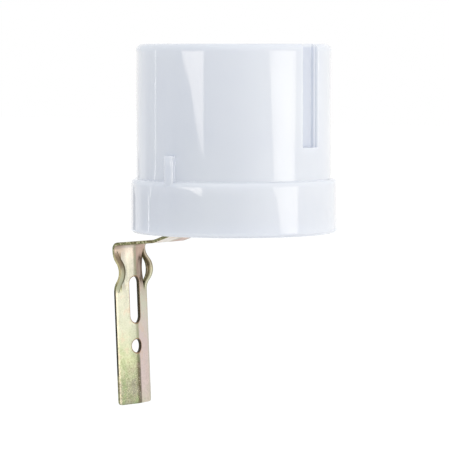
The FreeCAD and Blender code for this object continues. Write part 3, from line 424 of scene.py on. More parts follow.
coverSettings = {
    "rim": 46.9,
    "height": 71.2,
    "ringHeight": 20.3,
    "ringRadius": 39.05,
    "drumRadius": 37.0,
    "wall": 2.0,
    "top": 2.2,
    "topRound": 2.6,
    "ringRound": 1.8,
    "crownRadius": 92.0,  # the ring's wall bulges a little, between its round and crownFoot
    "crownFoot": 14,
    "crownInset": (0.12, 0.11),
    "rimRound": 1.4,
    "innerRimRound": 0.3,
    "creaseRound": 0.25,
    "skirtDepth": 18.2,
    "fluteWidth": 8.1,
    "fluteDepth": 2.7,
    "fluteLength": 38.5,
    "fluteRound": 1.1,
    "fluteDraft": 0.8,  # the floor's half width, as a share of the mouth's
    "catchWidth": 4.2,
    "catchRise": 9.6,
    "catchRound": 0.85,
    "catchFoot": 0.5,
    # where the mesh has its rings and columns
    "topRings": (0, 10, 20, 27, 31, 33.0),
    "fluteStart": 33.9,
    "drumRings": (60, 50, 42, 36),
    "catchRings": (26, 23),
    "crownRings": (17.6, 16.8, 16.0, 15.2),
    "ringMiddle": 8,
    "fluteStartInside": 31.9,
    "topRingsInside": (31.0, 20, 10, 0),
    "besideRound": 0.15,
    "besideEdge": 0.12,
    "aboveCatch": 0.4,
    "fluteEnd": ((0.5, 1), (0.12, 1), (0, 0.93), (0, 0.2), (-0.06, 0.1), (-0.2, 0.04), (-0.5, 0)),
    "catchEnd": ((0, 0.6), (0.05, 0.36), (0.18, 0.17), (0.36, 0.05), (0.6, 0.0)),
    "wallSpot": (0.94, 0.62),
    "floorSpots": (0.4, 0.2, 0),
    "backMargin": 1.6,
    "columnStep": 1.8,
    "mergeGap": 0.000004,  # metres
    "sharpAngle": 38,
    # the plastic
    "dark": (227, 231, 240),
    "light": (232, 236, 243),
    "roughness": (0.03, 0.055),
    "depthShare": 0.5,
    "depth": 0.0025,
    "relief": 0.00004,
    "reliefStrength": 0.4,
    "grainShare": 0.012,
    "layers": (
        # painted shade: the flutes' floors are darker, fading out up their walls
        ((200, 208, 226), ("away", 0.0343, 0.0366, 1.0, 0.0), ("up", 0.1172, 0.1165, 0.0, 0.5)),
    ),
}

plainZone, fluteZone, catchZone = 0.0, 1.0, 2.0
stationLabels = ("radius", "height", "flute", "catch", "inset", "inner")
columnLabels = ("turnOutside", "turnInside", "middle", "zone",
                "acrossHalf", "acrossRound", "outHigh", "outRound")
coverInputs = {
    "Drum Radius": "drumRadius",
    "Ring Radius": "ringRadius",
    "Flute Width": "fluteWidth",
    "Flute Depth": "fluteDepth",
    "Flute Round": "fluteRound",
    "Catch Width": "catchWidth",
    "Catch Round": "catchRound",
    "Wall": "wall",
    "Rim Level": "rim",
}


def arcPoints(centre, radius, first, last, steps):
    spots = []
    for k in range(steps + 1):
        angle = math.radians(first + (last - first) * k / steps)
        spots.append((centre[0] + radius * math.cos(angle), centre[1] + radius * math.sin(angle)))
    return spots


def coverStations():
    # Down the outside from the top's middle, round the rim and up the inside. Each station:
    # radius, height, how far flute and catch apply, the catch's inset, and 1 on the inside.
    c = coverSettings
    drum, ring, wall, top = c["drumRadius"], c["ringRadius"], c["wall"], c["height"]
    shoulder, skirtTop, ceiling = c["ringHeight"], c["skirtDepth"], top - c["top"]
    fluteFoot = top - c["fluteLength"]
    catchTop = shoulder + c["catchRise"]
    rows = []

    def row(radius, height, flute=0.0, catch=0.0, inset=0.0, inner=0.0):
        rows.append((radius, height, flute, catch, inset, inner))

    def arc(centre, radius, first, last, steps, skipped=0, **applied):
        for spot in arcPoints(centre, radius, first, last, steps)[skipped:]:
            row(*spot, **applied)

    for radius in c["topRings"]:
        row(radius, top)
    row(c["fluteStart"], top, flute=1)
    size = c["topRound"]
    arc((drum - size, top - size), size, 90, 0, 12, flute=1)
    for height in (top - size - c["besideRound"], *c["drumRings"]):
        row(drum, height, flute=1)
    for rise, share in c["fluteEnd"]:
        row(drum, fluteFoot + rise, flute=share)
    row(drum, catchTop + c["aboveCatch"])
    row(drum, catchTop)
    for drop, inset in c["catchEnd"]:
        row(drum, catchTop - drop, catch=1, inset=inset)
    size = c["creaseRound"]
    for height in (*c["catchRings"], shoulder + size + c["besideRound"]):
        row(drum, height, catch=1)
    arc((drum + size, shoulder + size), size, 180, 270, 5, catch=1)
    size = c["ringRound"]
    upper, lower = c["crownInset"]
    arc((ring - size - upper, shoulder - size), size, 90, 3, 10, skipped=1, catch=1)
    row(ring - lower, shoulder - size - c["besideEdge"])
    for height in c["crownRings"]:
        row(ring - (height - c["crownFoot"]) ** 2 / 2 / c["crownRadius"], height)
    row(ring, c["crownFoot"])
    row(ring, c["ringMiddle"])
    size = c["rimRound"]
    row(ring, size + c["besideEdge"])
    arc((ring - size, size), size, 0, -90, 8)

    bore, skirt = drum - wall, ring - wall
    size = c["innerRimRound"]
    arc((skirt + size, size), size, 270, 180, 3, inner=1)
    row(skirt, skirtTop - 0.1, inner=1)
    row(skirt, skirtTop, inner=1)
    row(bore, skirtTop, inner=1)
    row(bore, fluteFoot - wall, inner=1)
    row(bore, fluteFoot - wall, flute=1, inner=1)
    row(bore, ceiling, flute=1, inner=1)
    row(c["fluteStartInside"], ceiling, flute=1, inner=1)
    for radius in c["topRingsInside"]:
        row(radius, ceiling, inner=1)
    return rows


def quarterTurn(steps):
    return [math.radians(90 * k / steps) for k in range(steps + 1)]


def mirrored(section):
    return section + [((-across[0], -across[1]), out) for across, out in reversed(section[:-1])]


def halfAngle(across, radius):
    return math.degrees(math.asin(across / radius))


def coverColumns():
    # Round the axis. Each column: plain angle outside and inside, its zone's middle angle,
    # its zone, and its place in the zone's section as factors: across the half width and
    # the round, out from low to high and by the round.
    c = coverSettings
    drum = c["drumRadius"]
    wallAcross, wallOut = c["wallSpot"]
    flute = [((-1, math.sin(a) - 1), (1, math.cos(a) - 1)) for a in quarterTurn(5)]
    flute += [((-wallAcross, 0), (wallOut, 0))]
    flute += [((-c["fluteDraft"], 1 - math.cos(a)), (0, 1 - math.sin(a))) for a in quarterTurn(5)]
    flute += [((-spot, spot), (0, 0)) for spot in c["floorSpots"]]
    foot = c["catchFoot"] / c["catchRound"]
    catch = [((-1, foot * (math.sin(a) - 1)), (0, foot * (1 - math.cos(a))))
             for a in quarterTurn(4)]
    catch += [((-1, 0), (wallOut, 0))]
    catch += [((-1, 1 - math.cos(a)), (1, math.sin(a) - 1)) for a in quarterTurn(5)]
    catch += [((-0.5, 0.5), (1, 0)), ((0, 0), (1, 0))]
    fluteHalf = halfAngle(c["fluteWidth"] / 2 + c["fluteRound"], drum)
    catchHalf = halfAngle(c["catchWidth"] / 2 + c["catchFoot"], drum)
    backHalf = halfAngle(c["fluteWidth"] / 2 + c["wall"] + c["backMargin"], drum - c["wall"])
    zones = ((mirrored(flute), fluteHalf, backHalf, fluteZone),
             (mirrored(catch), catchHalf, catchHalf, catchZone))
    columns = []
    for quarter in range(4):
        middle = quarter * 90
        section, half, inHalf, zone = zones[quarter % 2]
        _, nextHalf, nextIn, _ = zones[(quarter + 1) % 2]
        last = len(section) - 1
        for k, (across, out) in enumerate(section):
            share = k / last * 2 - 1
            columns.append((middle + share * half, middle + share * inHalf, middle, zone,
                            *across, *out))
        gap, inGap = 90 - half - nextHalf, 90 - inHalf - nextIn
        steps = round(gap / c["columnStep"])
        for k in range(1, steps):
            share = k / steps
            columns.append((middle + half + share * gap, middle + inHalf + share * inGap,
                            middle, plainZone, 0, 0, 0, 0))
    return columns


def coverTree():
    # Turns the section round the axis and presses the flutes and catch housings into it
    tree = bpy.data.node_groups.new("turnedCover", "GeometryNodeTree")
    face = tree.interface
    face.new_socket("Geometry", in_out="INPUT", socket_type="NodeSocketGeometry")
    for label in (*coverInputs, "Axis X"):
        face.new_socket(label, in_out="INPUT", socket_type="NodeSocketFloat")
    face.new_socket("Material", in_out="INPUT", socket_type="NodeSocketMaterial")
    face.new_socket("Geometry", in_out="OUTPUT", socket_type="NodeSocketGeometry")
    entry = put(tree, "NodeGroupInput").outputs
    leave = put(tree, "NodeGroupOutput")

    def given(label):
        node = put(tree, "GeometryNodeInputNamedAttribute", data_type="FLOAT")
        node.inputs["Name"].default_value = label
        return node.outputs["Attribute"]

    def m(operation, *values):
        return calc(tree, operation, *values)

    def pick(chosen, plain, other):
        return m("ADD", plain, m("MULTIPLY", chosen, m("SUBTRACT", other, plain)))

    def chord(radius, across):
        inside = m("SUBTRACT", m("MULTIPLY", radius, radius), m("MULTIPLY", across, across))
        return m("SQRT", m("MAXIMUM", inside, 0.0))

    drum, ring = entry["Drum Radius"], entry["Ring Radius"]
    isCatch = m("COMPARE", given("zone"), catchZone, 0.1)
    isFlute = m("COMPARE", given("zone"), fluteZone, 0.1)
    inner = given("inner")
    radius = given("radius")
    plainAngle = m("RADIANS", given("turn"))
    middle = m("RADIANS", given("middle"))

    thicker = m("MULTIPLY", inner, entry["Wall"])
    fluteHalf = m("ADD", m("DIVIDE", entry["Flute Width"], 2.0), thicker)
    catchHalf = m("DIVIDE", entry["Catch Width"], 2.0)
    half = pick(isCatch, fluteHalf, catchHalf)
    bevel = pick(isCatch, entry["Flute Round"], entry["Catch Round"])
    floorAt = m("SUBTRACT", m("SUBTRACT", drum, entry["Flute Depth"]), thicker)
    low = pick(isCatch, floorAt, chord(drum, catchHalf))
    fluteEdge = m("SUBTRACT", chord(drum, m("ADD", fluteHalf, bevel)), thicker)
    high = pick(isCatch, fluteEdge, chord(ring, m("SUBTRACT", catchHalf, bevel)))

    inset = given("inset")
    across = m("ADD", m("MULTIPLY", given("acrossHalf"), half),
               m("MULTIPLY", given("acrossRound"), bevel))
    across = m("MULTIPLY", across, m("SUBTRACT", 1.0, m("DIVIDE", inset, half)))
    out = m("ADD", low, m("MULTIPLY", given("outHigh"), m("SUBTRACT", high, low)))
    out = m("ADD", out, m("MULTIPLY", given("outRound"), bevel))
    out = m("SUBTRACT", out, inset)
    onCircle = chord(radius, across)
    out = pick(isCatch, m("MINIMUM", out, onCircle), m("MAXIMUM", out, onCircle))

    cosine, sine = m("COSINE", middle), m("SINE", middle)
    pathX = m("SUBTRACT", m("MULTIPLY", out, cosine), m("MULTIPLY", across, sine))
    pathY = m("ADD", m("MULTIPLY", out, sine), m("MULTIPLY", across, cosine))
    plainX = m("MULTIPLY", radius, m("COSINE", plainAngle))
    plainY = m("MULTIPLY", radius, m("SINE", plainAngle))
    weight = m("ADD", m("MULTIPLY", isFlute, given("flute")),
               m("MULTIPLY", isCatch, given("catch")))
    place = put(tree, "ShaderNodeCombineXYZ")
    feedAll(tree, place, {"X": m("ADD", pick(weight, plainX, pathX), entry["Axis X"]),
                          "Y": pick(weight, plainY, pathY),
                          "Z": m("ADD", given("height"), entry["Rim Level"])})
    metres = put(tree, "ShaderNodeVectorMath", operation="SCALE")
    metres.inputs["Scale"].default_value = mm
    tree.links.new(place.outputs[0], metres.inputs[0])

    geometry = entry["Geometry"]
    for kind, extra in (("GeometryNodeSetPosition", {"Position": metres.outputs[0]}),
                        ("GeometryNodeMergeByDistance", {"Distance": coverSettings["mergeGap"]}),
                        ("GeometryNodeRealizeInstances", {}),
                        ("GeometryNodeSetMaterial", {"Material": entry["Material"]})):
        node = put(tree, kind)
        feedAll(tree, node, {"Geometry": geometry, **extra})
        geometry = node.outputs[0]
    tree.links.new(geometry, leave.inputs["Geometry"])
    return tree


def coverPlastic():
    c = coverSettings
    material, tree, shader, where = newMaterial("coverPlastic")
    cloud = noise(tree, where, scale=28, detail=2.0)
    grain = noise(tree, where, scale=2600, detail=2.0)
    flow = noise(tree, where, scale=60, detail=2.0, stretch=(1, 1, 0.25))
    spot = axes(tree, where)
    offAxis = calc(tree, "SUBTRACT", spot["X"], axisX)
    measures = {"away": farness(tree, offAxis, spot["Y"]), "up": spot["Z"]}
    body = ramp(tree, cloud, (noiseSpread[0], c["dark"]), (noiseSpread[1], c["light"]))
    feedAll(tree, shader, {
        "Base Color": layered(tree, body, measures, c["layers"]),
        "Roughness": span(tree, flow, *noiseSpread, *c["roughness"]),
        "Subsurface Weight": c["depthShare"],
        "Subsurface Radius": (1.0, 1.0, 1.0),
        "Subsurface Scale": c["depth"],
        "IOR": 1.5,
    })
    height = calc(tree, "ADD", calc(tree, "MULTIPLY", grain, c["grainShare"]), flow)
    bumpFrom(tree, shader, height, c["relief"], c["reliefStrength"])
    return material


def makeCover():
    c = coverSettings
    rows, columns = coverStations(), coverColumns()
    mesh = bpy.data.meshes.new("coverGrid")
    wide = len(columns)
    faces = []
    for j in range(len(rows) - 1):
        for k in range(wide):
            n = (k + 1) % wide
            faces.append((j * wide + k, (j + 1) * wide + k, (j + 1) * wide + n, j * wide + n))
    # a flat grid for now: the nodes read each point's place from its attributes
    spots = [(k * mm, j * mm, 0) for j in range(len(rows)) for k in range(wide)]
    mesh.from_pydata(spots, [], faces)
    rows = [dict(zip(stationLabels, row)) for row in rows]
    columns = [dict(zip(columnLabels, column)) for column in columns]
    values = {label: [row[label] for row in rows for _ in columns] for label in stationLabels}
    values["turn"] = [column["turnInside" if row["inner"] else "turnOutside"]
                      for row in rows for column in columns]
    for label in columnLabels[2:]:
        values[label] = [column[label] for _ in rows for column in columns]
    for label, numbers in values.items():
        mesh.attributes.new(label, "FLOAT", "POINT").data.foreach_set("value", numbers)
    cover = newObject("moulded_cover", mesh)
    shape = cover.modifiers.new("turnedCover", "NODES")
    shape.node_group = coverTree()
    for label, key in coverInputs.items():
        modifierInput(shape, label, c[key])
    modifierInput(shape, "Axis X", axisX / mm)
    modifierInput(shape, "Material", coverPlastic())
    bakeNodes(cover)
    for label in values:
        spare = cover.data.attributes.get(label)
        if spare:
            cover.data.attributes.remove(spare)
    smooth(cover.data, c["sharpAngle"])
    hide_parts("cover")
    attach(cover, "housing")
    print("cover:", len(cover.data.vertices), "vertices")


# bracket

bracketSettings = {
    "sheet": 1.2,
    "halfWidth": 9.2,
    "lean": 2.8,
    "armSlope": 5.5,
    "corner": 40.33,
    "legBelow": 22.6,
    "bendRadius": 2.1,
    "rampFoot": 16.65,
    "rampAngle": 19.0,
    "rampRound": 3.0,
    "padLevel": 49.7,
    "padEnd": 58.15,
    "padCorner": 6.5,
    "legCorner": 1.3,
    "foldAngle": 14.0,
    "foldForward": 0.338,
    "foldRound": 2.8,
    "foldRunout": 8.0,
    "fixingRadius": 2.65,
    "slotWidth": 5.6,
    "slotLength": 18.2,
    "slotRise": 18.15,
    "padHoleX": 49.15,
    "padHoleRadius": 2.05,
    "strapRise": (29.4, 30.0),  # pairs are for the near and the far loop
    "strapReach": (0.97, 1.24),
    "strapTilt": (0.75, 1.2),
    "tiltShare": 1 / 3.02,
    "tiltPower": 1.6,
    "strapBand": 2.9,
    "strapBow": 1.5,
    "strapSlit": 0.2,
    "strapAngle": 41.0,
    "strapRadius": 6.15,
    "dishDepth": 0.4,
    "dishFrom": 3.2,
    "dishWidth": 3.0,
    "dishHalf": 8.0,
    "edgeBevel": 0.14,
    "bevelAngle": 50,
    "sharpAngle": 32,
    # how fine the blank's mesh is
    "runStep": 0.85,
    "bendStep": 0.26,
    "loopStep": 0.45,
    "loopsFrom": 20,
    "rows": (0.0, 0.15, 0.3, 0.45, 0.6, 0.8, 1.3, 1.9, 2.5, 3.1, 3.7, 4.3, 4.9, 5.5, 5.9,
             6.75, 7.2, 7.7, 8.3),
    "outlineStep": 0.9,
    "slotStep": 1.0,
    "slitSteps": 12,
    "edgeGap": 0.42,
    "openingGap": 0.3,
    "slack": 0.01,
    "weldGap": 0.0001,
}


def heading(angle):
    return Vector((math.cos(angle), math.sin(angle)))


def bracketPath():
    # The mid-line's straight and round pieces: kind, lengths at both ends, place, angle, bend
    b = bracketSettings
    up = math.radians(90 + b["lean"])
    slope, climb = math.radians(b["armSlope"]), math.radians(b["rampAngle"])
    corner = Vector((-b["corner"] * math.tan(math.radians(b["lean"])), b["corner"]))
    foot = Vector((b["rampFoot"], corner.y + (b["rampFoot"] - corner.x) * math.tan(slope)))
    head = Vector((foot.x + (b["padLevel"] - foot.y) / math.tan(climb), b["padLevel"]))
    tail = Vector((b["padEnd"], b["padLevel"]))
    ends = [heading(up) * -b["legBelow"], corner, foot, head, tail]
    angles = [up, slope, climb, 0.0]
    radii = [b["bendRadius"], b["rampRound"], b["rampRound"]]
    parts = []
    length, spot = -b["legBelow"], ends[0]
    for k, angle in enumerate(angles):
        stop = ends[k + 1].copy()
        if k < len(radii):
            bend = angles[k + 1] - angle
            setback = radii[k] * math.tan(abs(bend) / 2)
            stop -= heading(angle) * setback
        run = (stop - spot).length
        parts.append(("run", length, length + run, spot.copy(), angle, 0.0))
        length += run
        if k < len(radii):
            parts.append(("arc", length, length + radii[k] * abs(bend), stop.copy(), angle, bend))
            length += radii[k] * abs(bend)
            spot = ends[k + 1] + heading(angles[k + 1]) * setback
    return parts


def onPath(parts, length):
    for kind, start, stop, spot, angle, bend in parts:
        if length <= stop or parts[-1][1] == start:
            if kind == "run":
                return spot + heading(angle) * (length - start)
            radius = (stop - start) / abs(bend)
            now = angle + bend * (length - start) / (stop - start)
            side = 1 if bend > 0 else -1
            centre = spot + Vector((-math.sin(angle), math.cos(angle))) * radius * side
            return centre - Vector((-math.sin(now), math.cos(now))) * radius * side
    raise ValueError(length)


def foldBack(across):
    # How far the sheet lies back from the fold's ridge line
    b = bracketSettings
    away, size = abs(across), b["foldRound"]
    slope = math.tan(math.radians(b["foldAngle"]))
    meet = size * math.sin(math.radians(b["foldAngle"]))
    if away >= meet:
        return slope * away - b["foldForward"]
    deep = size - math.sqrt(size ** 2 - meet ** 2)
    ridge = size - math.sqrt(size ** 2 - away ** 2)
    return slope * meet - deep + ridge - b["foldForward"]


def strapLift(along):
    # The band's height off the leg, along its length from the middle
    b = bracketSettings
    radius, steep = b["strapRadius"], math.radians(b["strapAngle"])
    quarter = radius * math.sin(steep)
    away = abs(along)
    if away >= 2 * quarter:
        return 0.0
    crown = 2 * radius * (1 - math.cos(steep))
    if away <= quarter:
        return crown - radius + math.sqrt(radius ** 2 - away ** 2)
    return radius - math.sqrt(radius ** 2 - (2 * quarter - away) ** 2)


def strapHalf():
    b = bracketSettings
    return 2 * b["strapRadius"] * math.sin(math.radians(b["strapAngle"]))


def bandWidth(along):
    # Each slit bows inward, so its band is widest at the middle
    b = bracketSettings
    return b["strapBand"] - b["strapBow"] * min(1.0, abs(along) / strapHalf()) ** 2


def bracketPoint(parts, length, across):
    # From the flat blank to the pressed sheet's mid-surface
    b = bracketSettings
    slope, lean = math.radians(b["armSlope"]), math.radians(b["lean"])
    forwards = heading(lean)
    far = across > 0
    bendEnd = parts[1][2]
    keep = 1.0 if length < bendEnd else max(0.0, 1 - (length - bendEnd) / b["foldRunout"])
    back = foldBack(across) * keep
    spot = onPath(parts, length) - heading(slope) * back
    along = length - b["strapRise"][far] / math.cos(lean)
    band = bandWidth(along)
    if abs(across) > b["halfWidth"] - band - b["slack"] and length < bendEnd:
        # the slit side of each band is drawn back a little
        inner = (b["halfWidth"] - abs(across)) / band
        tilt = b["strapTilt"][far] * inner ** b["tiltPower"] * b["tiltShare"]
        lift = strapLift(along) * (b["strapReach"][far] - tilt)
        spot = spot + forwards * lift
    # a shallow dish beside each loop
    share = (abs(across) - b["dishFrom"]) / b["dishWidth"]
    if 0 < share < 1 and abs(along) < b["dishHalf"]:
        fade = math.cos(math.pi * along / (2 * b["dishHalf"]))
        dip = b["dishDepth"] * math.sin(math.pi * share) * fade
        spot = spot - forwards * dip
    return Vector((spot.x, across, spot.y))


def legLength(across, height):
    # The blank's length that comes to this height on the leg
    b = bracketSettings
    sunk = math.sin(math.radians(b["armSlope"])) * foldBack(across)
    return (height + sunk) / math.cos(math.radians(b["lean"]))


def onLeg(across, height):
    return (legLength(across, height), across)


def inside(loop, x, y):
    hit = False
    for (ax, ay), (bx, by) in zip(loop, loop[1:] + loop[:1]):
        if (ay > y) != (by > y) and x < (bx - ax) * (y - ay) / (by - ay) + ax:
            hit = not hit
    return hit


def nearLoop(loop, x, y, gap):
    for (ax, ay), (bx, by) in zip(loop, loop[1:] + loop[:1]):
        dx, dy = bx - ax, by - ay
        size = dx * dx + dy * dy
        share = max(0.0, min(1.0, ((x - ax) * dx + (y - ay) * dy) / size)) if size else 0.0
        if (x - ax - share * dx) ** 2 + (y - ay - share * dy) ** 2 < gap * gap:
            return True
    return False


def divided(loop, step):
    spots = []
    for (ax, ay), (bx, by) in zip(loop, loop[1:] + loop[:1]):
        pieces = max(1, math.ceil(math.hypot(bx - ax, by - ay) / step))
        spots += [(ax + (bx - ax) * k / pieces, ay + (by - ay) * k / pieces) for k in range(pieces)]
    return spots


def stations(start, stop, step):
    pieces = max(1, round((stop - start) / step))
    return [start + (stop - start) * k / pieces for k in range(pieces)]


def blankLoops(parts):
    # The flat blank: its outline, then the fixing hole, slot, pad hole and two slits
    b = bracketSettings
    half, first, last = b["halfWidth"], -b["legBelow"], parts[-1][2]
    leg, pad = b["legCorner"], b["padCorner"]
    outline = []
    for centre, start, radius, steps in (((first + leg, half - leg), 90, leg, 6),
                                         ((first + leg, leg - half), 180, leg, 6),
                                         ((last - pad, pad - half), 270, pad, 14),
                                         ((last - pad, half - pad), 0, pad, 14)):
        outline += arcPoints(centre, radius, start, start + 90, steps)

    ring = arcPoints((0, 0), 1, 0, 350, 35)
    fixing = b["fixingRadius"]
    loops = [[onLeg(fixing * x, fixing * y) for x, y in ring]]
    end = b["slotWidth"] / 2
    rise = b["slotLength"] / 2 - end
    slot = arcPoints((0, b["slotRise"] + rise), end, 0, 180, 16)
    slot += arcPoints((0, b["slotRise"] - rise), -end, 0, 180, 16)
    loops.append(divided([onLeg(*spot) for spot in slot], b["slotStep"]))
    # the level pad's length at the screw
    padAt = parts[-1][1] + b["padHoleX"] - parts[-1][3].x
    loops.append([(padAt + b["padHoleRadius"] * x, b["padHoleRadius"] * y) for x, y in ring])
    count = b["slitSteps"]
    steps = [strapHalf() * k / count for k in range(-count, count + 1)]
    for side in (1, -1):
        middle = b["strapRise"][side > 0] / math.cos(math.radians(b["lean"]))
        slit = [(middle + along, side * (half - bandWidth(along) - b["strapSlit"]))
                for along in steps]
        slit += [(middle + along, side * (half - bandWidth(along))) for along in reversed(steps)]
        loops.append(slit)
    return divided(outline, b["outlineStep"]), loops


def makeBracket():
    b = bracketSettings
    parts = bracketPath()
    outline, loops = blankLoops(parts)
    lengths = []
    for kind, start, stop, *_ in parts:
        step = b["runStep"] if kind == "run" else b["bendStep"]
        if start < 0:
            lengths += stations(start, b["loopsFrom"], step)
            start, step = b["loopsFrom"], b["loopStep"]
        lengths += stations(start, stop, step)
    rows = sorted((*b["rows"], *(-v for v in b["rows"][1:])))

    def clear(x, y):
        # In the blank, off its edge and off every opening
        return (inside(outline, x, y) and not nearLoop(outline, x, y, b["edgeGap"])
                and not any(inside(loop, x, y) or nearLoop(loop, x, y, b["openingGap"])
                            for loop in loops))

    spots, edges = [], []
    for loop in [outline] + loops:
        base = len(spots)
        spots += [Vector(spot) for spot in loop]
        edges += [(base + k, base + (k + 1) % len(loop)) for k in range(len(loop))]
    for length in lengths[1:]:
        spots += [Vector((length, across)) for across in rows if clear(length, across)]
    flat, _, faces, _, _, _ = delaunay_2d_cdt(spots, edges, [], 0, b["weldGap"])
    kept = []
    for face in faces:
        x = sum(flat[v].x for v in face) / len(face)
        y = sum(flat[v].y for v in face) / len(face)
        if inside(outline, x, y) and not any(inside(loop, x, y) for loop in loops):
            kept.append(face[::-1])
    mesh = bpy.data.meshes.new("pressed_bracket")
    # The blank's lengths run up the leg, so its faces look along +X once pressed
    mesh.from_pydata([bracketPoint(parts, v.x, v.y) * mm for v in flat], [], kept)
    work = bmesh.new()
    work.from_mesh(mesh)
    bmesh.ops.delete(work, geom=[v for v in work.verts if not v.link_faces], context="VERTS")
    work.to_mesh(mesh)
    work.free()
    bracket = newObject("pressed_bracket", mesh)
    mesh.materials.append(yellowZinc())
    mesh.materials.append(cutEdgeZinc())
    wall = bracket.modifiers.new("sheet", "SOLIDIFY")
    wall.thickness = b["sheet"] * mm
    wall.offset = 0
    wall.use_even_offset = True
    wall.material_offset_rim = 1
    edge = bracket.modifiers.new("edges", "BEVEL")
    edge.width = b["edgeBevel"] * mm
    edge.segments = 2
    edge.limit_method = "ANGLE"
    edge.angle_limit = math.radians(b["bevelAngle"])
    bakeNodes(bracket)
    smooth(bracket.data, b["sharpAngle"])
    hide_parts("bracket")
    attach(bracket, "bracket")
    print("bracket:", len(bracket.data.vertices), "vertices")


# The yellow zinc's measures: across, up and forward are the place, side is across without
# its sign, reach the way up or down from the loops' middle, level the height with a wander,
# low the dirt's share near the foot, rim the way from the fixing hole and the slot.
zincSettings = {
    "foot": -0.0226,
    "head": 0.040,
    "wander": 0.016,
    "frayed": 0.0008,
    "loopMiddle": 0.0293,
    "metallic": 0.85,
    "roughness": (0.3, 0.42),
    "relief": 0.00012,
    "reliefStrength": 0.6,
    "speckShare": 0.5,
    # up the near and the far half of the leg
    "cream": ((0, (147, 150, 126)), (0.12, (153, 157, 132)), (0.26, (188, 194, 157)),
              (0.48, (197, 199, 180)), (0.84, (188, 187, 174)), (1, (224, 216, 206))),
    "rose": ((0, (206, 196, 178)), (0.14, (214, 195, 189)), (0.42, (210, 192, 187)),
             (0.62, (203, 203, 184)), (0.8, (190, 168, 156)), (1, (186, 156, 142))),
    "flank": (0.0008, 0.0014, 0, 1),
    "dirt": (0.004, -0.018, 0.12, 0.85),
    "dirtOffRose": 0.8,
    "dustEverywhere": 0.12,
    "flecksEverywhere": 0.1,
    "bandReach": (0.0090, 0.0064, 0, 1),
    "bandSide": (0.0062, 0.0064, 0, 1),
    "bandStrength": 0.75,
    # the bands' lower and upper tone; the browner upper tone is painted shade
    "strapLow": (170, 172, 138),
    "strapHighShade": (150, 132, 104),
    "strapChange": (0.026, 0.034, 0, 1),
    "layers": (
        # painted shade along the fold's crest, a painted highlight along the leg's near edge, and a
        # duller olive along its far edge
        ((138, 136, 98), ("across", -0.0012, 0.0002, 0, 0.6),
         ("across", 0.0010, 0.0014, 1, 0)),
        ((236, 222, 196), ("across", -0.0082, -0.0089, 0, 0.5)),
        ((184, 184, 162), ("across", 0.0076, 0.0088, 0, 0.6)),
        # painted shade: the crest is darker and browner towards the foot
        ((84, 68, 52), ("across", -0.0018, 0.0003, 0, 1),
         ("across", 0.0013, 0.0019, 1, 0), ("level", 0.002, -0.009, 0, 0.9)),
        ((220, 192, 168), ("drift", 0.5, 0.36, 0, 0.34), ("up", -0.014, -0.004, 0.2, 1)),
        # moss, ash, dust and pale flecks gather at the foot, mostly on the near half
        ((136, 156, 110), ("drift", 0.5, 0.62, 0, 0.75), ("low",)),
        ((132, 132, 122), ("drift", 0.46, 0.36, 0, 0.7), ("low",)),
        ((118, 112, 84), ("speck", 0.48, 0.63, 0, 0.8), ("dusty",)),
        ((240, 232, 196), ("fleck", 0.55, 0.67, 0, 0.42), ("flecked",)),
        # the loops' bands are tinted darker than the leg, with painted shade on their upper halves
        ("strapTone", ("bandTint",)),
        # painted shade, darkest beside the slits
        ((84, 76, 48), ("reach", 0.0078, 0.0052, 0, 1), ("side", 0.0062, 0.0064, 0, 1),
         ("side", 0.0078, 0.0068, 0, 0.95)),
        # a painted highlight line along the middle of the far band
        ((232, 228, 196), ("across", 0.0077, 0.0080, 0, 0.8),
         ("across", 0.0085, 0.0081, 0, 1), ("band",)),
        # painted shade in the dish beside the far loop, then painted shade in the corner under the
        # bend
        ((146, 130, 120), ("across", 0.0034, 0.0050, 0, 0.6),
         ("reach", 0.0078, 0.0040, 0, 1), ("across", 0.0064, 0.0063, 0, 1)),
        ((164, 142, 126), ("up", 0.0336, 0.0392, 0, 0.8), ("forward", 0.002, -0.001, 0, 1),
         ("across", -0.003, -0.0075, 0.35, 1)),
        # painted shade: dark rims round the fixing hole and the slot
        ((140, 106, 74), ("rim", 0.0006, 0.0003, 0, 0.85)),
    ),
}


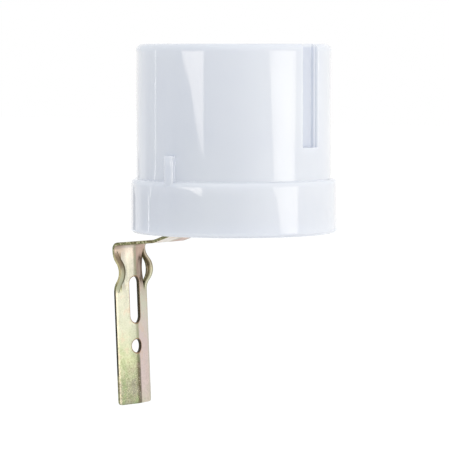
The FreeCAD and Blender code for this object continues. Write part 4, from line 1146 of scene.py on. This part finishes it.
def yellowZinc():
    z, b = zincSettings, bracketSettings
    material, tree, shader, where = newMaterial("yellowZinc")
    spot = axes(tree, where)
    across, up = spot["Y"], spot["Z"]
    wander = noise(tree, where, scale=130, detail=4.0, rough=0.62)
    drift = noise(tree, where, scale=240, detail=2.0, offset=(3, 1, 2))
    speck = noise(tree, where, scale=1700, detail=3.0, rough=0.7)
    fleck = noise(tree, where, scale=2300, detail=2.0, offset=(5, 2, 7))
    draw = noise(tree, where, scale=260, detail=3.0, stretch=(1, 1, 0.12))

    def m(operation, *values):
        return calc(tree, operation, *values)

    def shifted(value, by, size):
        return m("ADD", value, m("MULTIPLY", m("SUBTRACT", by, 0.5), size))

    level = shifted(up, wander, z["wander"])
    share = span(tree, level, z["foot"], z["head"], 0.0, 1.0, smoothly=False)
    flank = span(tree, shifted(across, draw, z["frayed"]), *z["flank"])
    skin = blendColour(tree, flank, ramp(tree, share, *z["cream"]), ramp(tree, share, *z["rose"]))

    cleaner = m("SUBTRACT", 1.0, m("MULTIPLY", flank, z["dirtOffRose"]))
    low = m("MULTIPLY", span(tree, level, *z["dirt"]), cleaner)
    side = m("ABSOLUTE", across)
    reach = m("ABSOLUTE", m("SUBTRACT", up, z["loopMiddle"]))
    band = m("MULTIPLY", span(tree, reach, *z["bandReach"]), span(tree, side, *z["bandSide"]))
    # the bands' tone, browner higher up as painted shade
    tone = blendColour(tree, span(tree, up, *z["strapChange"]),
                       srgb(*z["strapLow"]), srgb(*z["strapHighShade"]))
    slotEnd = b["slotWidth"] / 2
    fromMiddle = m("ABSOLUTE", m("SUBTRACT", up, b["slotRise"] * mm))
    past = m("MAXIMUM", m("SUBTRACT", fromMiddle, (b["slotLength"] / 2 - slotEnd) * mm), 0.0)
    slotAway = m("SUBTRACT", farness(tree, across, past), slotEnd * mm)
    holeAway = m("SUBTRACT", farness(tree, across, up), b["fixingRadius"] * mm)
    measures = {
        "across": across, "up": up, "forward": spot["X"], "level": level, "side": side,
        "reach": reach, "drift": drift, "speck": speck, "fleck": fleck, "low": low,
        "dusty": m("ADD", low, z["dustEverywhere"]),
        "flecked": m("ADD", low, z["flecksEverywhere"]),
        "band": band, "bandTint": m("MULTIPLY", band, z["bandStrength"]), "strapTone": tone,
        "rim": m("MINIMUM", slotAway, holeAway),
    }
    feedAll(tree, shader, {"Base Color": layered(tree, skin, measures, z["layers"]),
                           "Metallic": z["metallic"],
                           "Roughness": span(tree, draw, *noiseSpread, *z["roughness"])})
    height = m("ADD", draw, m("MULTIPLY", speck, z["speckShare"]))
    bumpFrom(tree, shader, height, z["relief"], z["reliefStrength"])
    return material


# Sheared edges take the coating darker and coarser; painted shadow makes them darkest down the near
# side of the leg
cutEdgeSettings = {
    "skin": ((0.38, (80, 80, 44)), (0.5, (130, 132, 90)), (0.64, (206, 202, 166))),
    "metallic": 0.7,
    "roughness": (0.35, 0.65, 0.4, 0.6),
    "relief": 0.0003,
    "reliefStrength": 0.7,
    "layers": (
        ((112, 92, 60), ("patch", 0.45, 0.62, 0, 0.4)),
        # painted light makes them bright on the near loop, painted shadow nearly black down the
        # near side of the leg
        ((216, 204, 158), ("up", 0.0235, 0.0262, 0, 0.6), ("up", 0.0375, 0.0345, 0, 1),
         ("across", -0.0085, -0.0091, 0, 1)),
        ((14, 13, 11), ("up", 0.0238, 0.0206, 0, 0.94),
         ("across", -0.0085, -0.0091, 0, 1), ("up", -0.0120, -0.0108, 0, 1)),
        # painted shade inside the fixing hole and the slot
        ((52, 40, 32), ("side", 0.0031, 0.0028, 0, 0.88)),
    ),
}


def cutEdgeZinc():
    e = cutEdgeSettings
    material, tree, shader, where = newMaterial("cutEdgeZinc")
    spot = axes(tree, where)
    speck = noise(tree, where, scale=1100, detail=4.0, rough=0.7)
    measures = {"across": spot["Y"], "up": spot["Z"], "side": calc(tree, "ABSOLUTE", spot["Y"]),
                "patch": noise(tree, where, scale=260, detail=2.0)}
    skin = ramp(tree, speck, *e["skin"])
    feedAll(tree, shader, {"Base Color": layered(tree, skin, measures, e["layers"]),
                           "Metallic": e["metallic"],
                           "Roughness": span(tree, speck, *e["roughness"])})
    bumpFrom(tree, shader, speck, e["relief"], e["reliefStrength"])
    return material


# finishes of the nodes that keep their CAD shape

# each: light and dark colour, mottle scale, roughness, relief in microns, metallic, coat, wearers
nodeFinishes = {
    "basePlastic": ((226, 229, 236), (214, 218, 227), 90, (0.35, 0.5), 40, 0, 0, "base"),
    "brightZinc": ((214, 215, 214), (178, 181, 184), 600, (0.22, 0.36), 40, 1, 0,
                   "bracket_screw", "flat_washer", "spring_washer", "bracket_nut", "board_screws"),
    "laminate": ((188, 152, 92), (166, 128, 70), 700, (0.45, 0.6), 40, 0, 0, "circuit_board"),
    "relayCase": ((38, 38, 42), (28, 28, 31), 500, (0.35, 0.5), 50, 0, 0, "relay"),
    "filmCase": ((190, 62, 34), (164, 46, 26), 300, (0.2, 0.34), 60, 0, 0.3, "film_capacitor"),
    "canSleeve": ((34, 40, 62), (24, 28, 46), 350, (0.2, 0.34), 50, 0, 0.2,
                  "smoothing_capacitor", "delay_capacitor"),
    "blackEpoxy": ((34, 34, 36), (24, 24, 26), 900, (0.45, 0.6), 40, 0, 0,
                   "rectifier_diodes", "transistor"),
    "diodeGlass": ((196, 96, 48), (168, 74, 36), 500, (0.08, 0.16), 30, 0, 0.6,
                   "zener_diode", "coil_diode"),
    "resistorCoat": ((206, 184, 140), (188, 162, 116), 600, (0.4, 0.55), 40, 0, 0,
                     "signal_resistors", "series_resistor"),
    "varistorCoat": ((40, 78, 158), (30, 62, 134), 500, (0.3, 0.42), 60, 0, 0, "varistor"),
    "cellResin": ((206, 104, 66), (178, 82, 50), 800, (0.08, 0.16), 30, 0, 0.6, "light_sensor"),
    "tinnedBrass": ((214, 196, 140), (188, 168, 112), 700, (0.25, 0.4), 40, 1, 0,
                    "lead_terminals"),
}
mottleSpread = (0.34, 0.66)
fineScale = 4.0
micron = 0.000001


def dressNodes(name, light, dark, scale, rough, relief, metallic, coat, *wearers):
    # One finish with a mottled colour, uneven gloss and a fine relief
    material, tree, shader, where = newMaterial(name)
    patch = noise(tree, where, scale)
    fine = noise(tree, where, scale * fineScale, detail=4.0)
    skin = ramp(tree, patch, (mottleSpread[0], dark), (mottleSpread[1], light))
    feedAll(tree, shader, {"Base Color": skin, "Metallic": metallic, "Coat Weight": coat,
                           "Roughness": span(tree, fine, *noiseSpread, *rough)})
    bumpFrom(tree, shader, fine, relief * micron)
    for wearer in wearers:
        for place in nodes[wearer].material_slots:
            place.material = material


def finishNodes():
    for name, settings in nodeFinishes.items():
        dressNodes(name, *settings)
    print("finishes:", len(nodeFinishes))


makeStudio()
makeCover()
makeBracket()
finishNodes()
